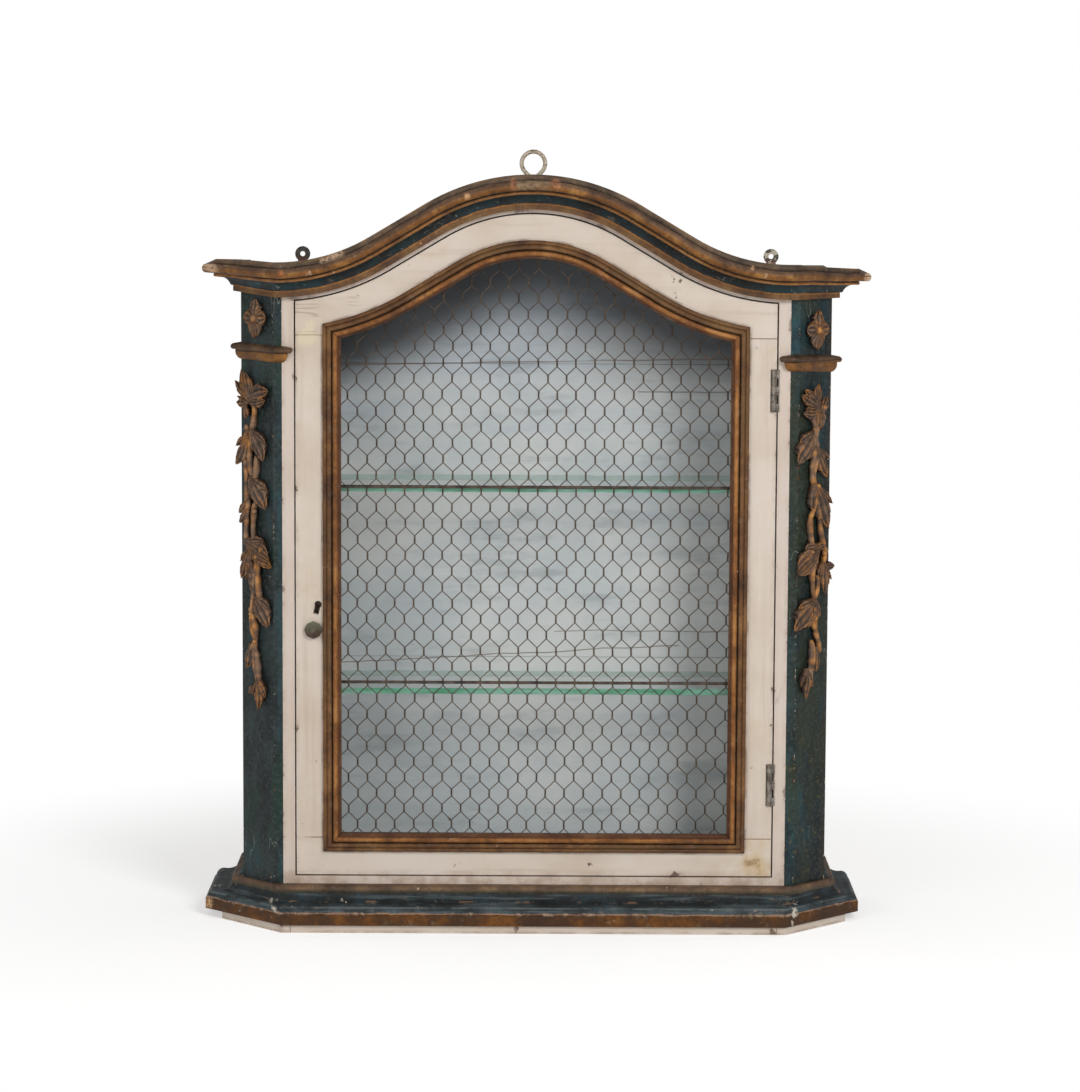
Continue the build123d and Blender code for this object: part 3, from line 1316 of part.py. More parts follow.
def plate_screw(x):
    """The place of the screw in one hanging plate."""
    return (x, arch_height(ROOF_OFFSET, x) - ROOF_THICKNESS - PLATE_STRAP_WIDTH / 2)


def hanging_plate(side):
    """An iron plate with an eye, screwed to the back behind the cornice."""
    x = side * PLATE_X
    z = plate_centre_z(x)
    low = arch_height(ROOF_OFFSET, x) - PLATE_STRAP_DROP
    half = PLATE_STRAP_WIDTH / 2
    back = BACK_Y + HANGER_THICKNESS
    body = rod_y(x, BACK_Y, back, z, PLATE_DISC_RADIUS)
    body = body + block(x - half, x + half, BACK_Y, back, low, z)
    body = body - rod_y(x, BACK_Y - MARGIN, back + MARGIN, z, PLATE_HOLE_RADIUS)
    return body - hanger_screw_at(*plate_screw(x))


def hanger_screws():
    """The screws of the loop and of both plates."""
    places = loop_screws() + [plate_screw(side * PLATE_X) for side in (-1, 1)]
    return [hanger_screw_at(x, z) for x, z in places]


def drilled_for_hangers(plank):
    """The top plank with the holes for the hanging hardware's screws."""
    places = loop_screws() + [plate_screw(side * PLATE_X) for side in (-1, 1)]
    radius = HANGER_SCREW_RADIUS + HANGER_SCREW_CLEARANCE
    depth = HANGER_SCREW_LENGTH - HANGER_THICKNESS + HANGER_SCREW_CLEARANCE
    for x, z in places:
        plank = plank - rod_y(x, BACK_Y - depth, BACK_Y + MARGIN, z, radius)
    return plank


# ---- All pieces -------------------------------------------------------------
def all_parts():
    """Every piece by its name."""
    bottom, middle, top = back_planks()
    parts = {
        "base_board": base_board(),
        "floor_board": floor_board(),
        "roof_board": roof_board(),
        "back_plank_bottom": bottom,
        "back_plank_middle": middle,
        "back_plank_top": drilled_for_hangers(top),
        "frame_stile_left": lock_frame_stile(),
        "frame_stile_right": hinge_frame_stile(),
        "frame_rail_top": frame_rail_top(),
        "frame_rail_bottom": frame_rail_bottom(),
        "capital_left": capital(-1, CAPITAL_TOP_LEFT),
        "capital_right": capital(1, CAPITAL_TOP_RIGHT),
        "rosette_left": rosette(-1, ROSETTE_Z_LEFT),
        "rosette_right": rosette(1, ROSETTE_Z_RIGHT),
        "garland_left": garland(-1, CAPITAL_TOP_LEFT, LEFT_LEAVES, LEFT_STEMS),
        "garland_right": garland(1, CAPITAL_TOP_RIGHT, RIGHT_LEAVES, RIGHT_STEMS),
        "door_stile_lock": lock_stile(),
        "door_stile_hinge": hinge_stile(),
        "door_rail_top": door_rail_top(),
        "door_rail_bottom": door_rail_bottom(),
        "netting": netting(),
        "rod_staples": Compound(children=rod_staples()),
        "lock_case": lock_case(),
        "lock_bolt": lock_bolt(),
        "knob": knob(),
        "hinge_screws_frame": Compound(children=hinge_screws("frame")),
        "hinge_screws_door": Compound(children=hinge_screws("door")),
        "hanging_loop": hanging_loop(),
        "hanging_plates": Compound(children=[hanging_plate(-1), hanging_plate(1)]),
        "hanger_screws": Compound(children=hanger_screws()),
    }
    for name, side in SIDES.items():
        parts[f"side_board_{name}"] = side_board(side)
        parts[f"corner_post_{name}"] = corner_post(side)
    levels = zip(("lower", "upper"), SHELF_TOPS, ROD_HEIGHTS, HINGE_CENTRES)
    for name, shelf_top, rod_height, centre in levels:
        parts[f"shelf_{name}"] = shelf(shelf_top)
        parts[f"shelf_bearers_{name}"] = Compound(children=shelf_bearers(shelf_top))
        parts[f"stay_rod_{name}"] = stay_rod(rod_height)
        parts[f"hinge_{name}_frame_leaf"] = hinge_frame_leaf(centre)
        parts[f"hinge_{name}_door_leaf"] = hinge_door_leaf(centre)
        parts[f"hinge_{name}_pin"] = hinge_pin(centre)
    parts.update(base_mouldings())
    parts.update(cornice_mouldings())
    parts.update(door_mouldings())
    return parts


def main():
    os.makedirs("parts", exist_ok=True)
    for name, part in all_parts().items():
        export_step(part, f"parts/{name}.step")


main()
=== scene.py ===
from itertools import groupby
from math import cos, pi, radians, sin, sqrt, tan

import bmesh
import bpy
from mathutils import Matrix, Vector, noise


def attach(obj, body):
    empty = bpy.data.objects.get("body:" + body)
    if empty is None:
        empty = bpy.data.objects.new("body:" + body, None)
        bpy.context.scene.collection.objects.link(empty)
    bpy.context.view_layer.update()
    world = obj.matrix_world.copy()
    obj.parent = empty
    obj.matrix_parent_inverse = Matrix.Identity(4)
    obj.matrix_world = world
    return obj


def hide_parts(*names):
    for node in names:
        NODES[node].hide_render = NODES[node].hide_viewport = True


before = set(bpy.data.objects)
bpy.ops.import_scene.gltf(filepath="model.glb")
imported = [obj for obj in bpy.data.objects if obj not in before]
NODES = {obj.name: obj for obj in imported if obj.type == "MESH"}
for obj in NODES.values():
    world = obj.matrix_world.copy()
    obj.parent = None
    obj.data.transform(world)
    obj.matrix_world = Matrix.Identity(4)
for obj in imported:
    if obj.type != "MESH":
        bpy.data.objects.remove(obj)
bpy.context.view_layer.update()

# A wall display case in worn painted wood. Paint, gilding and glass go on the
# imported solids, and the netting, garlands and rosettes are made here in full.
# Sizes are in millimetres, with x to the right, y to the back and z up. MM
# turns them into the metres of the scene.
MM = 0.001

# ---- Sizes shared with the solids -------------------------------------------
HALF_WIDTH = 296.0
FRAME_HALF_WIDTH = 253.0
DOOR_HALF_WIDTH = 239.4
DOOR_BOTTOM = 53.0
CANT_MIDDLE_X = 279.0
CANT_MIDDLE_Y = -61.0
CANT_HALF = 24.04
ARCH_CENTRE_X = -4.0
ARCH_HALF_SPAN = 255.2
ARCH_CROWN_RADIUS = 173.0
ARCH_FOOT_RADIUS = 218.0
ARCH_SLOPE = radians(30.8)
ARCH_FOOT_Z = 635.3
ARCH_BENDS = ARCH_CROWN_RADIUS + ARCH_FOOT_RADIUS
CROWN_CENTRE_Z = (
    ARCH_FOOT_Z
    + ARCH_BENDS * (1 - cos(ARCH_SLOPE))
    + (ARCH_HALF_SPAN - ARCH_BENDS * sin(ARCH_SLOPE)) * tan(ARCH_SLOPE)
    - ARCH_CROWN_RADIUS
)
FOOT_CENTRE_Z = ARCH_FOOT_Z + ARCH_FOOT_RADIUS
# The inner edge of the door's moulding, and the joints of the door's frame.
SIGHT_X = 194.4
SIGHT_Z = 95.0
SIGHT_OFFSET = -48.4
MOULDING_WIDTH = 17.0
DOOR_JOINTS = ((-1, 598.0), (1, 596.3), (-1, 91.0), (1, 91.0))
CAPITAL_FOOT_LEFT = 570.5
CAPITAL_FOOT_RIGHT = 564.0
# The knob's shades go from 0 at this height to 1, by this much for a millimetre.
KNOB_LOW = 293.0
KNOB_RISE = 0.055


def colour(digits):
    """A colour written as six hexadecimal digits, as linear light."""
    parts = [int(digits[i : i + 2], 16) / 255 for i in (0, 2, 4)]
    linear = [c / 12.92 if c <= 0.04045 else ((c + 0.055) / 1.055) ** 2.4 for c in parts]
    return (*linear, 1.0)


# ---- Writing a finish -------------------------------------------------------
class Layer:
    """One value, colour or direction inside a finish; values take part in sums."""

    def __init__(self, finish, socket):
        self.finish = finish
        self.socket = socket

    def __add__(self, other):
        return self.finish.maths("ADD", self, other)

    def __sub__(self, other):
        return self.finish.maths("SUBTRACT", self, other)

    def __rsub__(self, other):
        return self.finish.maths("SUBTRACT", other, self)

    def __mul__(self, other):
        return self.finish.maths("MULTIPLY", self, other)

    def __pow__(self, other):
        return self.finish.maths("POWER", self, other)

    def __abs__(self):
        return self.finish.maths("ABSOLUTE", self)

    def __gt__(self, other):
        return self.finish.maths("GREATER_THAN", self, other)

    def __lt__(self, other):
        return self.finish.maths("LESS_THAN", self, other)

    __radd__ = __add__
    __rmul__ = __mul__


class Shading:
    """A tree of nodes, written from its inputs outwards."""

    def __init__(self, tree):
        self.tree = tree
        self.tree.nodes.clear()

    def add(self, kind, settings, sockets):
        """A node of one type: its settings first, then the values or links of its sockets."""
        node = self.tree.nodes.new(kind)
        for name, value in settings.items():
            if name != "stops":
                setattr(node, name, value)
        if "stops" in settings:
            elements = node.color_ramp.elements
            while len(elements) < len(settings["stops"]):
                elements.new(0.5)
            for element, (position, shade) in zip(elements, settings["stops"]):
                element.position = position
                element.color = shade
        for name, value in sockets.items():
            if isinstance(value, Layer):
                self.tree.links.new(value.socket, node.inputs[name])
            else:
                node.inputs[name].default_value = value
        return node

    def node(self, kind, output, settings, sockets):
        """One output of a node, ready for use in sums."""
        return Layer(self, self.add(kind, settings, sockets).outputs[output])

    def maths(self, operation, *values):
        """One operation on values and numbers."""
        return self.node("ShaderNodeMath", 0, {"operation": operation}, dict(enumerate(values)))

    def most(self, *values):
        """The highest of some values."""
        found = values[0]
        for value in values[1:]:
            found = self.maths("MAXIMUM", found, value)
        return found

    def least(self, *values):
        """The lowest of some values."""
        found = values[0]
        for value in values[1:]:
            found = self.maths("MINIMUM", found, value)
        return found

    def rays(self, *kinds):
        """A mask that is 1 where light of one of these kinds arrives."""
        paths = self.add("ShaderNodeLightPath", {}, {})
        return self.most(*(Layer(self, paths.outputs[f"Is {kind} Ray"]) for kind in kinds))


class Finish(Shading):
    """One material. Its places and distances are in millimetres."""

    def __init__(self, name):
        self.material = bpy.data.materials.new(name)
        self.material.use_nodes = True
        super().__init__(self.material.node_tree)
        self.place = self.node("ShaderNodeTexCoord", "Object", {}, {})
        parts = self.add("ShaderNodeSeparateXYZ", {}, {"Vector": self.place})
        self.x, self.y, self.z = (Layer(self, parts.outputs[i]) * (1 / MM) for i in range(3))
        self.paint = None

    # Masks
    def step(self, value, low, high):
        """A mask that goes smoothly from 0 at low to 1 at high."""
        sockets = {"Value": value, "From Min": low, "From Max": high}
        return self.node("ShaderNodeMapRange", 0, {"interpolation_type": "SMOOTHSTEP"}, sockets)

    def fall(self, value, low, high):
        """A mask that goes smoothly from 1 at low to 0 at high."""
        return 1 - self.step(value, low, high)

    def band(self, value, low, high, soft):
        """A mask that is 1 between low and high."""
        above = self.step(value, low - soft, low + soft)
        return above * self.fall(value, high - soft, high + soft)

    def near(self, value, target, reach):
        """A mask that is 1 at the target and fades to 0 at its reach."""
        return self.fall(abs(value - target), 0.0, reach)

    def spot(self, x, z, radius):
        """A round mask on the front of the case."""
        across, up = self.x - x, self.z - z
        return self.fall((across * across + up * up) ** 0.5, radius * 0.3, radius)

    # Patterns
    def stretched(self, x, y, z):
        """The place in the piece, scaled along each axis, for grain that runs one way."""
        sockets = {0: self.place, 1: (x, y, z)}
        return self.node("ShaderNodeVectorMath", 0, {"operation": "MULTIPLY"}, sockets)

    def noise(self, scale, detail, rough, where=None, seed=0.0, distort=0.0):
        """Cloudy variation round 0.5; the scale is counted in blotches to the metre."""
        sockets = {"Vector": where or self.place, "W": seed, "Scale": scale}
        sockets |= {"Detail": detail, "Roughness": rough, "Distortion": distort}
        return self.node("ShaderNodeTexNoise", 0, {"noise_dimensions": "4D"}, sockets)

    def blots(self, scale, amount, seed):
        """Ragged patches, where the cloud is above the amount."""
        return self.step(self.noise(scale, 5, 0.62, seed=seed), amount, amount + 0.035)

    def hairlines(self, scale, along, seed, width, spread, low, high):
        """Thin wandering lines, which show only where a second cloud is high."""
        line = self.near(self.noise(scale, 3, 0.5, self.stretched(*along), seed), 0.5, width)
        return line * self.step(self.noise(spread, 3, 0.5, seed=seed + 1.0), low, high)

    def nicks(self, scale, size, share):
        """A few small round marks; the size is a share of the space between them."""
        cells = self.add("ShaderNodeTexVoronoi", {}, {"Vector": self.place, "Scale": scale})
        distance, tint = (Layer(self, cells.outputs[name]) for name in ("Distance", "Color"))
        parts = self.add("ShaderNodeSeparateColor", {}, {0: tint})
        chosen = Layer(self, parts.outputs[0]) < share
        return chosen * self.fall(distance, size * 0.6, size)

    # Colours
    def blend(self, mask, under, over):
        """One colour over another, where the mask is 1."""
        under, over = (colour(c) if isinstance(c, str) else c for c in (under, over))
        return self.node("ShaderNodeMix", 2, {"data_type": "RGBA"}, {0: mask, 6: under, 7: over})

    def tones(self, value, *stops):
        """A value turned into a run of colours."""
        settings = {"stops": [(position, colour(digits)) for position, digits in stops]}
        return self.node("ShaderNodeValToRGB", "Color", settings, {"Fac": value})

    def cover(self, mask, shade):
        """One more coat on the paint so far, where the mask is 1."""
        self.paint = self.blend(mask, self.paint, shade)

    def surface(self, rough, metal=0.0, height=None, depth=0.4, **fixed):
        """The last step: one principled surface, with a bump where a height is given."""
        sockets = {"Base Color": self.paint, "Roughness": rough, "Metallic": metal, **fixed}
        if height is not None:
            bump = {"Height": height, "Distance": depth * MM, "Strength": 1.0}
            sockets["Normal"] = self.node("ShaderNodeBump", 0, {}, bump)
        shader = self.node("ShaderNodeBsdfPrincipled", 0, {}, sockets)
        self.add("ShaderNodeOutputMaterial", {}, {"Surface": shader})
        return self.material

    # Measures
    def arch_offset(self):
        """How far a point of the front lies outside the cornice's lower line."""
        across = abs(self.x - ARCH_CENTRE_X)
        inward = ARCH_HALF_SPAN - across
        rise = self.z - CROWN_CENTRE_Z
        drop = FOOT_CENTRE_Z - self.z
        sine, cosine = sin(ARCH_SLOPE), cos(ARCH_SLOPE)
        crown = (across * across + rise * rise) ** 0.5 - ARCH_CROWN_RADIUS
        foot = ARCH_FOOT_RADIUS - (inward * inward + drop * drop) ** 0.5
        slope = across * sine + rise * cosine - ARCH_CROWN_RADIUS
        level = self.z - ARCH_FOOT_Z
        in_crown = (across * cosine - rise * sine) < 0.0
        in_foot = (inward * cosine - drop * sine) < 0.0
        on_level = inward < 0.0
        bend = crown * in_crown + slope * (1 - in_crown)
        bend = foot * in_foot + bend * (1 - in_foot)
        return level * on_level + bend * (1 - on_level)

    def sight_distance(self):
        """How far a point of the door lies outside the moulding's inner edge."""
        return self.most(abs(self.x) - SIGHT_X, self.past_sight_ends())

    def past_sight_ends(self):
        """The same for the moulding's top and bottom runs alone."""
        return self.most(SIGHT_Z - self.z, self.arch_offset() - SIGHT_OFFSET)

    def cant_depth(self):
        """How far a point lies outside the canted face of its corner."""
        return (abs(self.x) - self.y - (CANT_MIDDLE_X - CANT_MIDDLE_Y)) * sqrt(0.5)

    def cant_across(self):
        """How far along the canted face a point lies, outwards from its middle."""
        return (abs(self.x) + self.y - (CANT_MIDDLE_X + CANT_MIDDLE_Y)) * sqrt(0.5)


# ---- Paint on the wood ------------------------------------------------------
# Most coats are f.cover(where * strength, shade), and "where" is often a cloud
# that shows between two of its levels. Rows of clouds and shades are given one
# by one; places and widths are in millimetres. A grain is a stretch of its
# clouds along x, y and z, and it runs along the smallest of the three.
DULL = {"Specular IOR Level": 0.28}
UPRIGHT, LEVEL = (1, 1, 0.05), (0.05, 1, 1)
ACROSS_GRAIN, DEEP_GRAIN = (0.3, 3, 3), (3, 0.3, 3)


def bare_wood(f, along, light, dark):
    """The colour and height of old softwood with a long grain."""
    rings = f.noise(7, 6, 0.6, f.stretched(*along), 2.0, 1.3)
    pores = f.noise(60, 4, 0.6, f.stretched(*along), 5.0)
    shade = f.blend(f.step(rings, 0.36, 0.66), light, dark)
    shade = f.blend(f.step(pores, 0.52, 0.7) * 0.5, shade, "5a4230")
    return shade, rings + pores * 0.5


def cream_paint(name, grain, marks):
    """Old cream paint with brush streaks, hair cracks and rubbed edges."""
    f = Finish(name)
    streak = f.noise(110, 5, 0.62, f.stretched(*grain))
    cloud = f.noise(11, 5, 0.6, seed=1.0)
    f.paint = f.tones(cloud, (0.34, "cfbfae"), (0.5, "d9cbbc"), (0.66, "dccfc4"))
    f.cover(f.step(streak, 0.5, 0.74) * 0.4, "b8a38e")
    f.cover(f.fall(streak, 0.28, 0.46) * 0.4, "e4d9cc")
    varnish = f.step(f.noise(13, 6, 0.68, seed=11.0), 0.55, 0.66)
    f.cover(varnish * 0.4, "cdb692")
    crack = f.hairlines(30, grain, 8.0, 0.006, 16, 0.56, 0.64)
    f.cover(crack * 0.4, "8a6c52")
    grime = f.noise(40, 5, 0.65, seed=3.0)
    edge = f.most(
        f.near(abs(f.x), DOOR_HALF_WIDTH, 5.0) * 0.6,
        f.near(abs(f.x), FRAME_HALF_WIDTH, 5.0),
        f.near(f.z, DOOR_BOTTOM + 1.0, 6.0) * 0.6,
        f.near(f.arch_offset(), -2.0, 5.0),
    )
    rubbed = f.step(grime + edge * 0.1, 0.665, 0.7)
    chips = f.most(rubbed, f.blots(70, 0.7, 6.0) * 0.8, f.nicks(24, 0.035, 0.2))
    f.cover(edge * f.step(grime, 0.42, 0.62) * 0.5, "9a8068")
    f.cover(chips * 0.85, f.tones(grime, (0.4, "7a5a42"), (0.7, "4c3626")))
    height = streak * 0.5 - chips * 0.6 - crack * 0.7 - marks(f, grime)
    return f.surface(0.5 + grime * 0.25, height=height, depth=0.5)


def door_marks(f, grime):
    """What years of use left on the door: joints, stains and a dark patch by the knob."""
    joints = f.most(*(f.near(f.z, z, 0.75) * (f.x * side > 0.0) for side, z in DOOR_JOINTS))
    joints = joints * (abs(f.x) > SIGHT_X + MOULDING_WIDTH) * f.step(grime, 0.36, 0.46)
    f.cover(joints * 0.85, "7d5233")
    glued = f.band(f.x, -237.6, -213.0, 1.5) * f.band(f.z, 588.0, 615.0, 3.0)  # top left corner
    f.cover(glued * f.step(grime, 0.4, 0.55) * 0.6, "e0d2b4")
    damp = f.band(f.x, 211.0, 242.0, 5.0) * f.band(f.z, 50.0, 90.0, 7.0)  # bottom right corner
    f.cover(damp * f.step(grime, 0.38, 0.6) * 0.75, "cdb284")
    f.cover(damp * f.step(grime, 0.57, 0.66) * 0.7, "8d6c46")
    handled = f.most(f.spot(-208.0, 299.0, 17.0), f.spot(-217.0, 328.0, 12.0) * 0.6)
    f.cover(handled * f.step(grime, 0.4, 0.6) * 0.55, "8c6a50")
    beside = f.near(f.sight_distance(), MOULDING_WIDTH + 1.0, 3.0) * f.step(grime, 0.44, 0.6)
    f.cover(beside * 0.7, "7f6250")
    return joints


def frame_marks(f, grime):
    """The frame is a little pinker than the door and darker where it meets the base."""
    f.cover(0.35, "cbb9b0")
    foot = f.near(f.z, 45.0, 16.0) * f.step(grime, 0.4, 0.6)
    f.cover(foot * 0.6, "9d846b")
    return foot * 0.2


BOARD_JOINT_X = 244.0
BOARD_JOINT_BACK_Y = -70.0


def board_marks(f, grime):
    """The base board has a pale joint and is dirty along its lower edge."""
    joint = f.near(abs(f.x), BOARD_JOINT_X, 0.7) * (f.y < BOARD_JOINT_BACK_Y)
    f.cover(joint * 0.8, "8a735c")
    low = f.fall(f.z, 0.0, 4.0) * f.step(grime, 0.4, 0.6)
    f.cover(low * 0.6, "947a60")
    return joint


def green_paint(name, side):
    """The canted posts: blackish green outside with worn arrises, blue-grey inside."""
    f = Finish(name)
    cloud = f.noise(30, 6, 0.7, f.stretched(1, 1, 0.4))
    fine = f.noise(260, 5, 0.62)
    patch = f.noise(13, 4, 0.6, f.stretched(1.4, 1.4, 0.6), 4.0)
    if side < 0:
        stops = (0.38, "0f1415"), (0.48, "1b2324"), (0.56, "2c3536"), (0.64, "1d4046")
        f.paint = f.tones(cloud, *stops)
        strip = f.band(abs(f.x), FRAME_HALF_WIDTH, FRAME_HALF_WIDTH + 5.0, 0.8)
        f.cover(strip * f.step(cloud, 0.4, 0.6) * 0.7, "1c444d")
        f.cover(f.step(patch, 0.5, 0.62) * 0.65, "1f3a30")
    else:
        stops = (0.38, "0d1313"), (0.48, "122022"), (0.56, "17323a"), (0.64, "1f484c")
        f.paint = f.tones(cloud, *stops)
        f.cover(f.step(patch, 0.46, 0.6) * 0.75, "2c321f")
        rust = f.blots(120, 0.6, 2.0) * f.fall(f.z, 70.0, 300.0)
        f.cover(rust * 0.7, "5f5a34")
        f.cover(f.band(f.cant_across(), 18.0, 30.0, 4.0) * 0.6, "33281e")
    f.cover(f.step(fine, 0.49, 0.62) * 0.6, "3c4644")
    f.cover(f.fall(fine, 0.3, 0.46) * 0.55, "111618")
    f.cover(f.hairlines(34, (1, 1, 0.35), 12.0, 0.004, 18, 0.55, 0.62) * 0.6, "9aa39e")
    cant_edges = f.most(
        f.near(f.cant_across(), -CANT_HALF, 1.3), f.near(f.cant_across(), CANT_HALF, 2.6)
    )
    arris = f.most(
        cant_edges * (f.cant_depth() > -3.0), f.near(abs(f.x), FRAME_HALF_WIDTH, 1.2)
    )
    wear = f.noise(210, 6, 0.74, seed=7.0) + arris * 0.1
    rubbed = arris * (f.step(wear, 0.64, 0.68) if side > 0 else f.step(wear, 0.68, 0.71))
    f.cover(rubbed * 0.9, f.tones(patch, (0.42, "b98a5c"), (0.52, "d0c0ac"), (0.62, "a8622f")))
    specks = f.most(f.nicks(75, 0.11, 0.16), f.blots(210, 0.69, 9.0))
    f.cover(specks * 0.75, f.tones(cloud, (0.4, "a7a79c"), (0.6, "9c6a40")))
    inside = f.fall(f.most(f.cant_depth(), abs(f.x) - HALF_WIDTH), -9.0, -8.0)
    f.cover(inside, f.tones(cloud, (0.35, "8e999f"), (0.65, "a9b2b4")))
    height = fine * 0.7 - rubbed - specks * 0.6
    return f.surface(0.42 + fine * 0.3, height=height, depth=0.5, **DULL)


def plank_paint(name):
    """The back planks: thin blue-grey paint inside, with a painted shadow of the arch near the top,
    and bare wood behind.
    """
    f = Finish(name)
    cloud = f.noise(7, 5, 0.6)
    grain = f.noise(42, 6, 0.64, f.stretched(0.22, 1, 1), 3.0)
    blue = f.noise(20, 6, 0.66, f.stretched(0.12, 1, 1), 5.0)
    high = f.step(f.z, 470.0, 660.0)
    f.paint = f.blend(f.step(cloud, 0.34, 0.64), "dadddb", "c6cdd0")
    f.cover(high * 0.6, "b4becb")
    f.cover(f.step(blue, 0.5, 0.72) * 0.45, "a2b2c6")
    f.cover(f.step(grain, 0.5, 0.7) * 0.5, "8f9a9e")
    f.cover(f.fall(grain, 0.32, 0.44) * 0.4, "dadfdc")
    # Painted shadow: the arch and roof's shade on the planks near the top, nearly black.
    painted_arch_shadow = f.step(f.arch_offset() + (cloud - 0.5) * 30.0, -125.0, -62.0)
    f.cover(painted_arch_shadow * 0.88, "33363a")
    wave = f.noise(9, 3, 0.5, f.stretched(1, 0, 0), 6.0) * 14.0  # the cracks wander by this much
    crack = f.near(f.z - wave - f.x * 0.055, 252.0, 0.9) * (f.x < 150.0)
    seam = f.most(
        f.near(f.z - wave * 0.4 - f.x * 0.02, 560.0, 1.0),
        f.near(f.z - wave * 0.3, 530.0, 0.8) * (f.x > 105.0),
        f.near(f.z - wave, 275.0, 0.6) * (f.x > 20.0),
    )
    lines = f.most(crack, seam * f.step(grain, 0.3, 0.46))
    f.cover(lines * 0.75, "7a5c46")
    f.cover(f.nicks(22, 0.05, 0.3) * 0.8, "5e4e40")
    wood, rings = bare_wood(f, ACROSS_GRAIN, "a5845c", "6f5034")
    f.cover(f.step(f.y, 75.0, 76.0), wood)
    return f.surface(0.62, height=grain + rings * 0.3 - lines, depth=0.5)


def plain_wood(name, along, light, dark):
    """Unpainted timber where nobody looks."""
    f = Finish(name)
    f.paint, rings = bare_wood(f, along, light, dark)
    f.cover(f.step(f.noise(9, 4, 0.6), 0.42, 0.66) * 0.35, "8c7d6c")
    return f.surface(0.75, height=rings)


# ---- Paint and gilding along the mouldings ----------------------------------
def banded(f, measure, bands, seed):
    """Bands of worn paint and gilding, each from its start to the next one's."""
    wear = f.noise(32, 6, 0.68, seed=seed)
    ragged = measure + (f.noise(110, 4, 0.6, seed=seed + 1.0) - 0.5) * 2.2
    f.paint, shine = colour(bands[0][2]), 0.0
    for start, dark, middle, light, glint in bands:
        mask = f.step(ragged, start - 0.25, start + 0.25)
        f.cover(mask, f.tones(wear, (0.36, dark), (0.5, middle), (0.64, light)))
        shine = mask * glint + (1 - mask) * shine
    return shine * f.step(wear, 0.44, 0.58), wear


def worn_moulding(name, measure_of, bands, marks, seed):
    """A moulding finished in bands, with dirt, chips and scratches over them."""
    f = Finish(name)
    measure = measure_of(f)
    shine, wear = banded(f, measure, bands, seed)
    fine = f.noise(300, 5, 0.64, seed=2.0)
    dirt = f.noise(85, 5, 0.66, seed=3.0)
    f.cover(f.step(fine, 0.52, 0.7) * 0.5, "2a1e16")
    f.cover(f.step(dirt, 0.54, 0.68) * 0.45, "33271e")
    f.cover(f.fall(dirt, 0.3, 0.44) * 0.25, "a08a70")
    chips = f.most(f.nicks(60, 0.1, 0.2), f.blots(150, 0.685, 5.0))
    f.cover(chips * 0.85, f.tones(wear, (0.42, "c9b296"), (0.55, "a8704c"), (0.68, "d8cdbd")))
    scratch = f.hairlines(45, (0.5, 1, 1.4), 6.0, 0.004, 26, 0.53, 0.62)
    f.cover(scratch * 0.6, "b39c82")
    if marks:
        marks(f, measure, wear, fine)
    height = fine * 0.6 + dirt * 0.4 - chips * 0.7 - scratch * 0.4
    return f.surface(0.42 + fine * 0.3, shine, height, 0.6, **DULL)


def cornice_measure(f):
    """The height in the cornice's own profile, which is set higher and squeezed at the sides."""
    left = f.x < 0.0
    turned = f.least(f.most(f.cant_across() * (0.5 / CANT_HALF) + 0.5, 0.0), 1.0)
    rise = turned * (left * 4.2 + 0.3)
    squeeze = 1 + turned * (0.189 - left * 0.094)
    return (f.arch_offset() - rise) * squeeze


def capital_measure(f):
    """The height above a capital's foot."""
    return f.z - CAPITAL_FOOT_LEFT + (f.x > 0.0) * (CAPITAL_FOOT_LEFT - CAPITAL_FOOT_RIGHT)


def cornice_marks(f, measure, _wear, fine):
    """Raw wood at the broken tips, a mend at the crown and a rubbed top edge."""
    cove = f.band(measure, 7.0, 15.0, 0.6)
    f.cover(cove * f.step(f.noise(24, 5, 0.6, seed=14.0), 0.5, 0.64) * 0.7, "1c373c")
    f.cover(cove * f.blots(170, 0.63, 15.0) * 0.6, "8b9694")
    torus = f.band(measure, 19.6, 29.0, 0.6)
    raw_chip = torus * f.blots(48, 0.625, 18.0)
    f.cover(raw_chip * 0.85, f.tones(fine, (0.42, "8a5a3a"), (0.6, "c4a184")))
    frayed = f.x + (f.noise(130, 4, 0.7, seed=23.0) - 0.5) * 12.0
    mend = torus * f.band(frayed, -19.5, 13.7, 1.2)
    f.cover(mend * 0.6, f.tones(f.noise(190, 4, 0.6, seed=24.0), (0.4, "6e5740"), (0.6, "a08a6c")))
    ends = f.most(f.near(frayed, -23.0, 5.0), f.near(frayed, 18.5, 7.0))
    ends = ends * f.band(measure, 19.6, 32.0, 0.6)
    f.cover(ends * 0.75, f.tones(f.noise(170, 4, 0.6, seed=25.0), (0.4, "6e3a24"), (0.6, "b9855c")))
    bare = f.band(frayed, -212.0, -190.0, 3.0) * f.step(measure, 27.5, 30.0)
    f.cover(bare * f.step(fine, 0.44, 0.5) * 0.8, "c9aa8c")
    top = f.step(measure, 32.2, 33.6) * f.step(f.noise(34, 5, 0.66, seed=16.0), 0.45, 0.6)
    f.cover(top * 0.6, "96704a")
    layers = f.step(f.noise(120, 3, 0.5, f.stretched(0.2, 0.2, 2.4), 17.0), 0.46, 0.54)
    left_tip = f.fall(f.x, -326.0, -314.0) * f.band(f.z, 655.0, 668.0, 1.5)
    right_tip = f.step(f.x, 325.0, 332.0) * f.band(f.z, 650.0, 661.0, 1.5)
    tip = f.most(left_tip, right_tip) * f.fall(f.y, -30.0, -22.0)
    f.cover(tip * f.step(fine + tip * 0.14, 0.5, 0.58), f.blend(layers, "c9a98a", "6b4a34"))
    ragged = f.step(f.noise(210, 4, 0.6, seed=19.0), 0.4, 0.5)
    f.cover(f.spot(-251.0, 660.7, 4.2) * ragged * 0.9, "a8683c")
    plug = f.most(f.spot(-68.5, 736.8, 4.4), f.spot(212.0, 668.0, 3.0))
    f.cover(plug * ragged * 0.9, "c59a72")


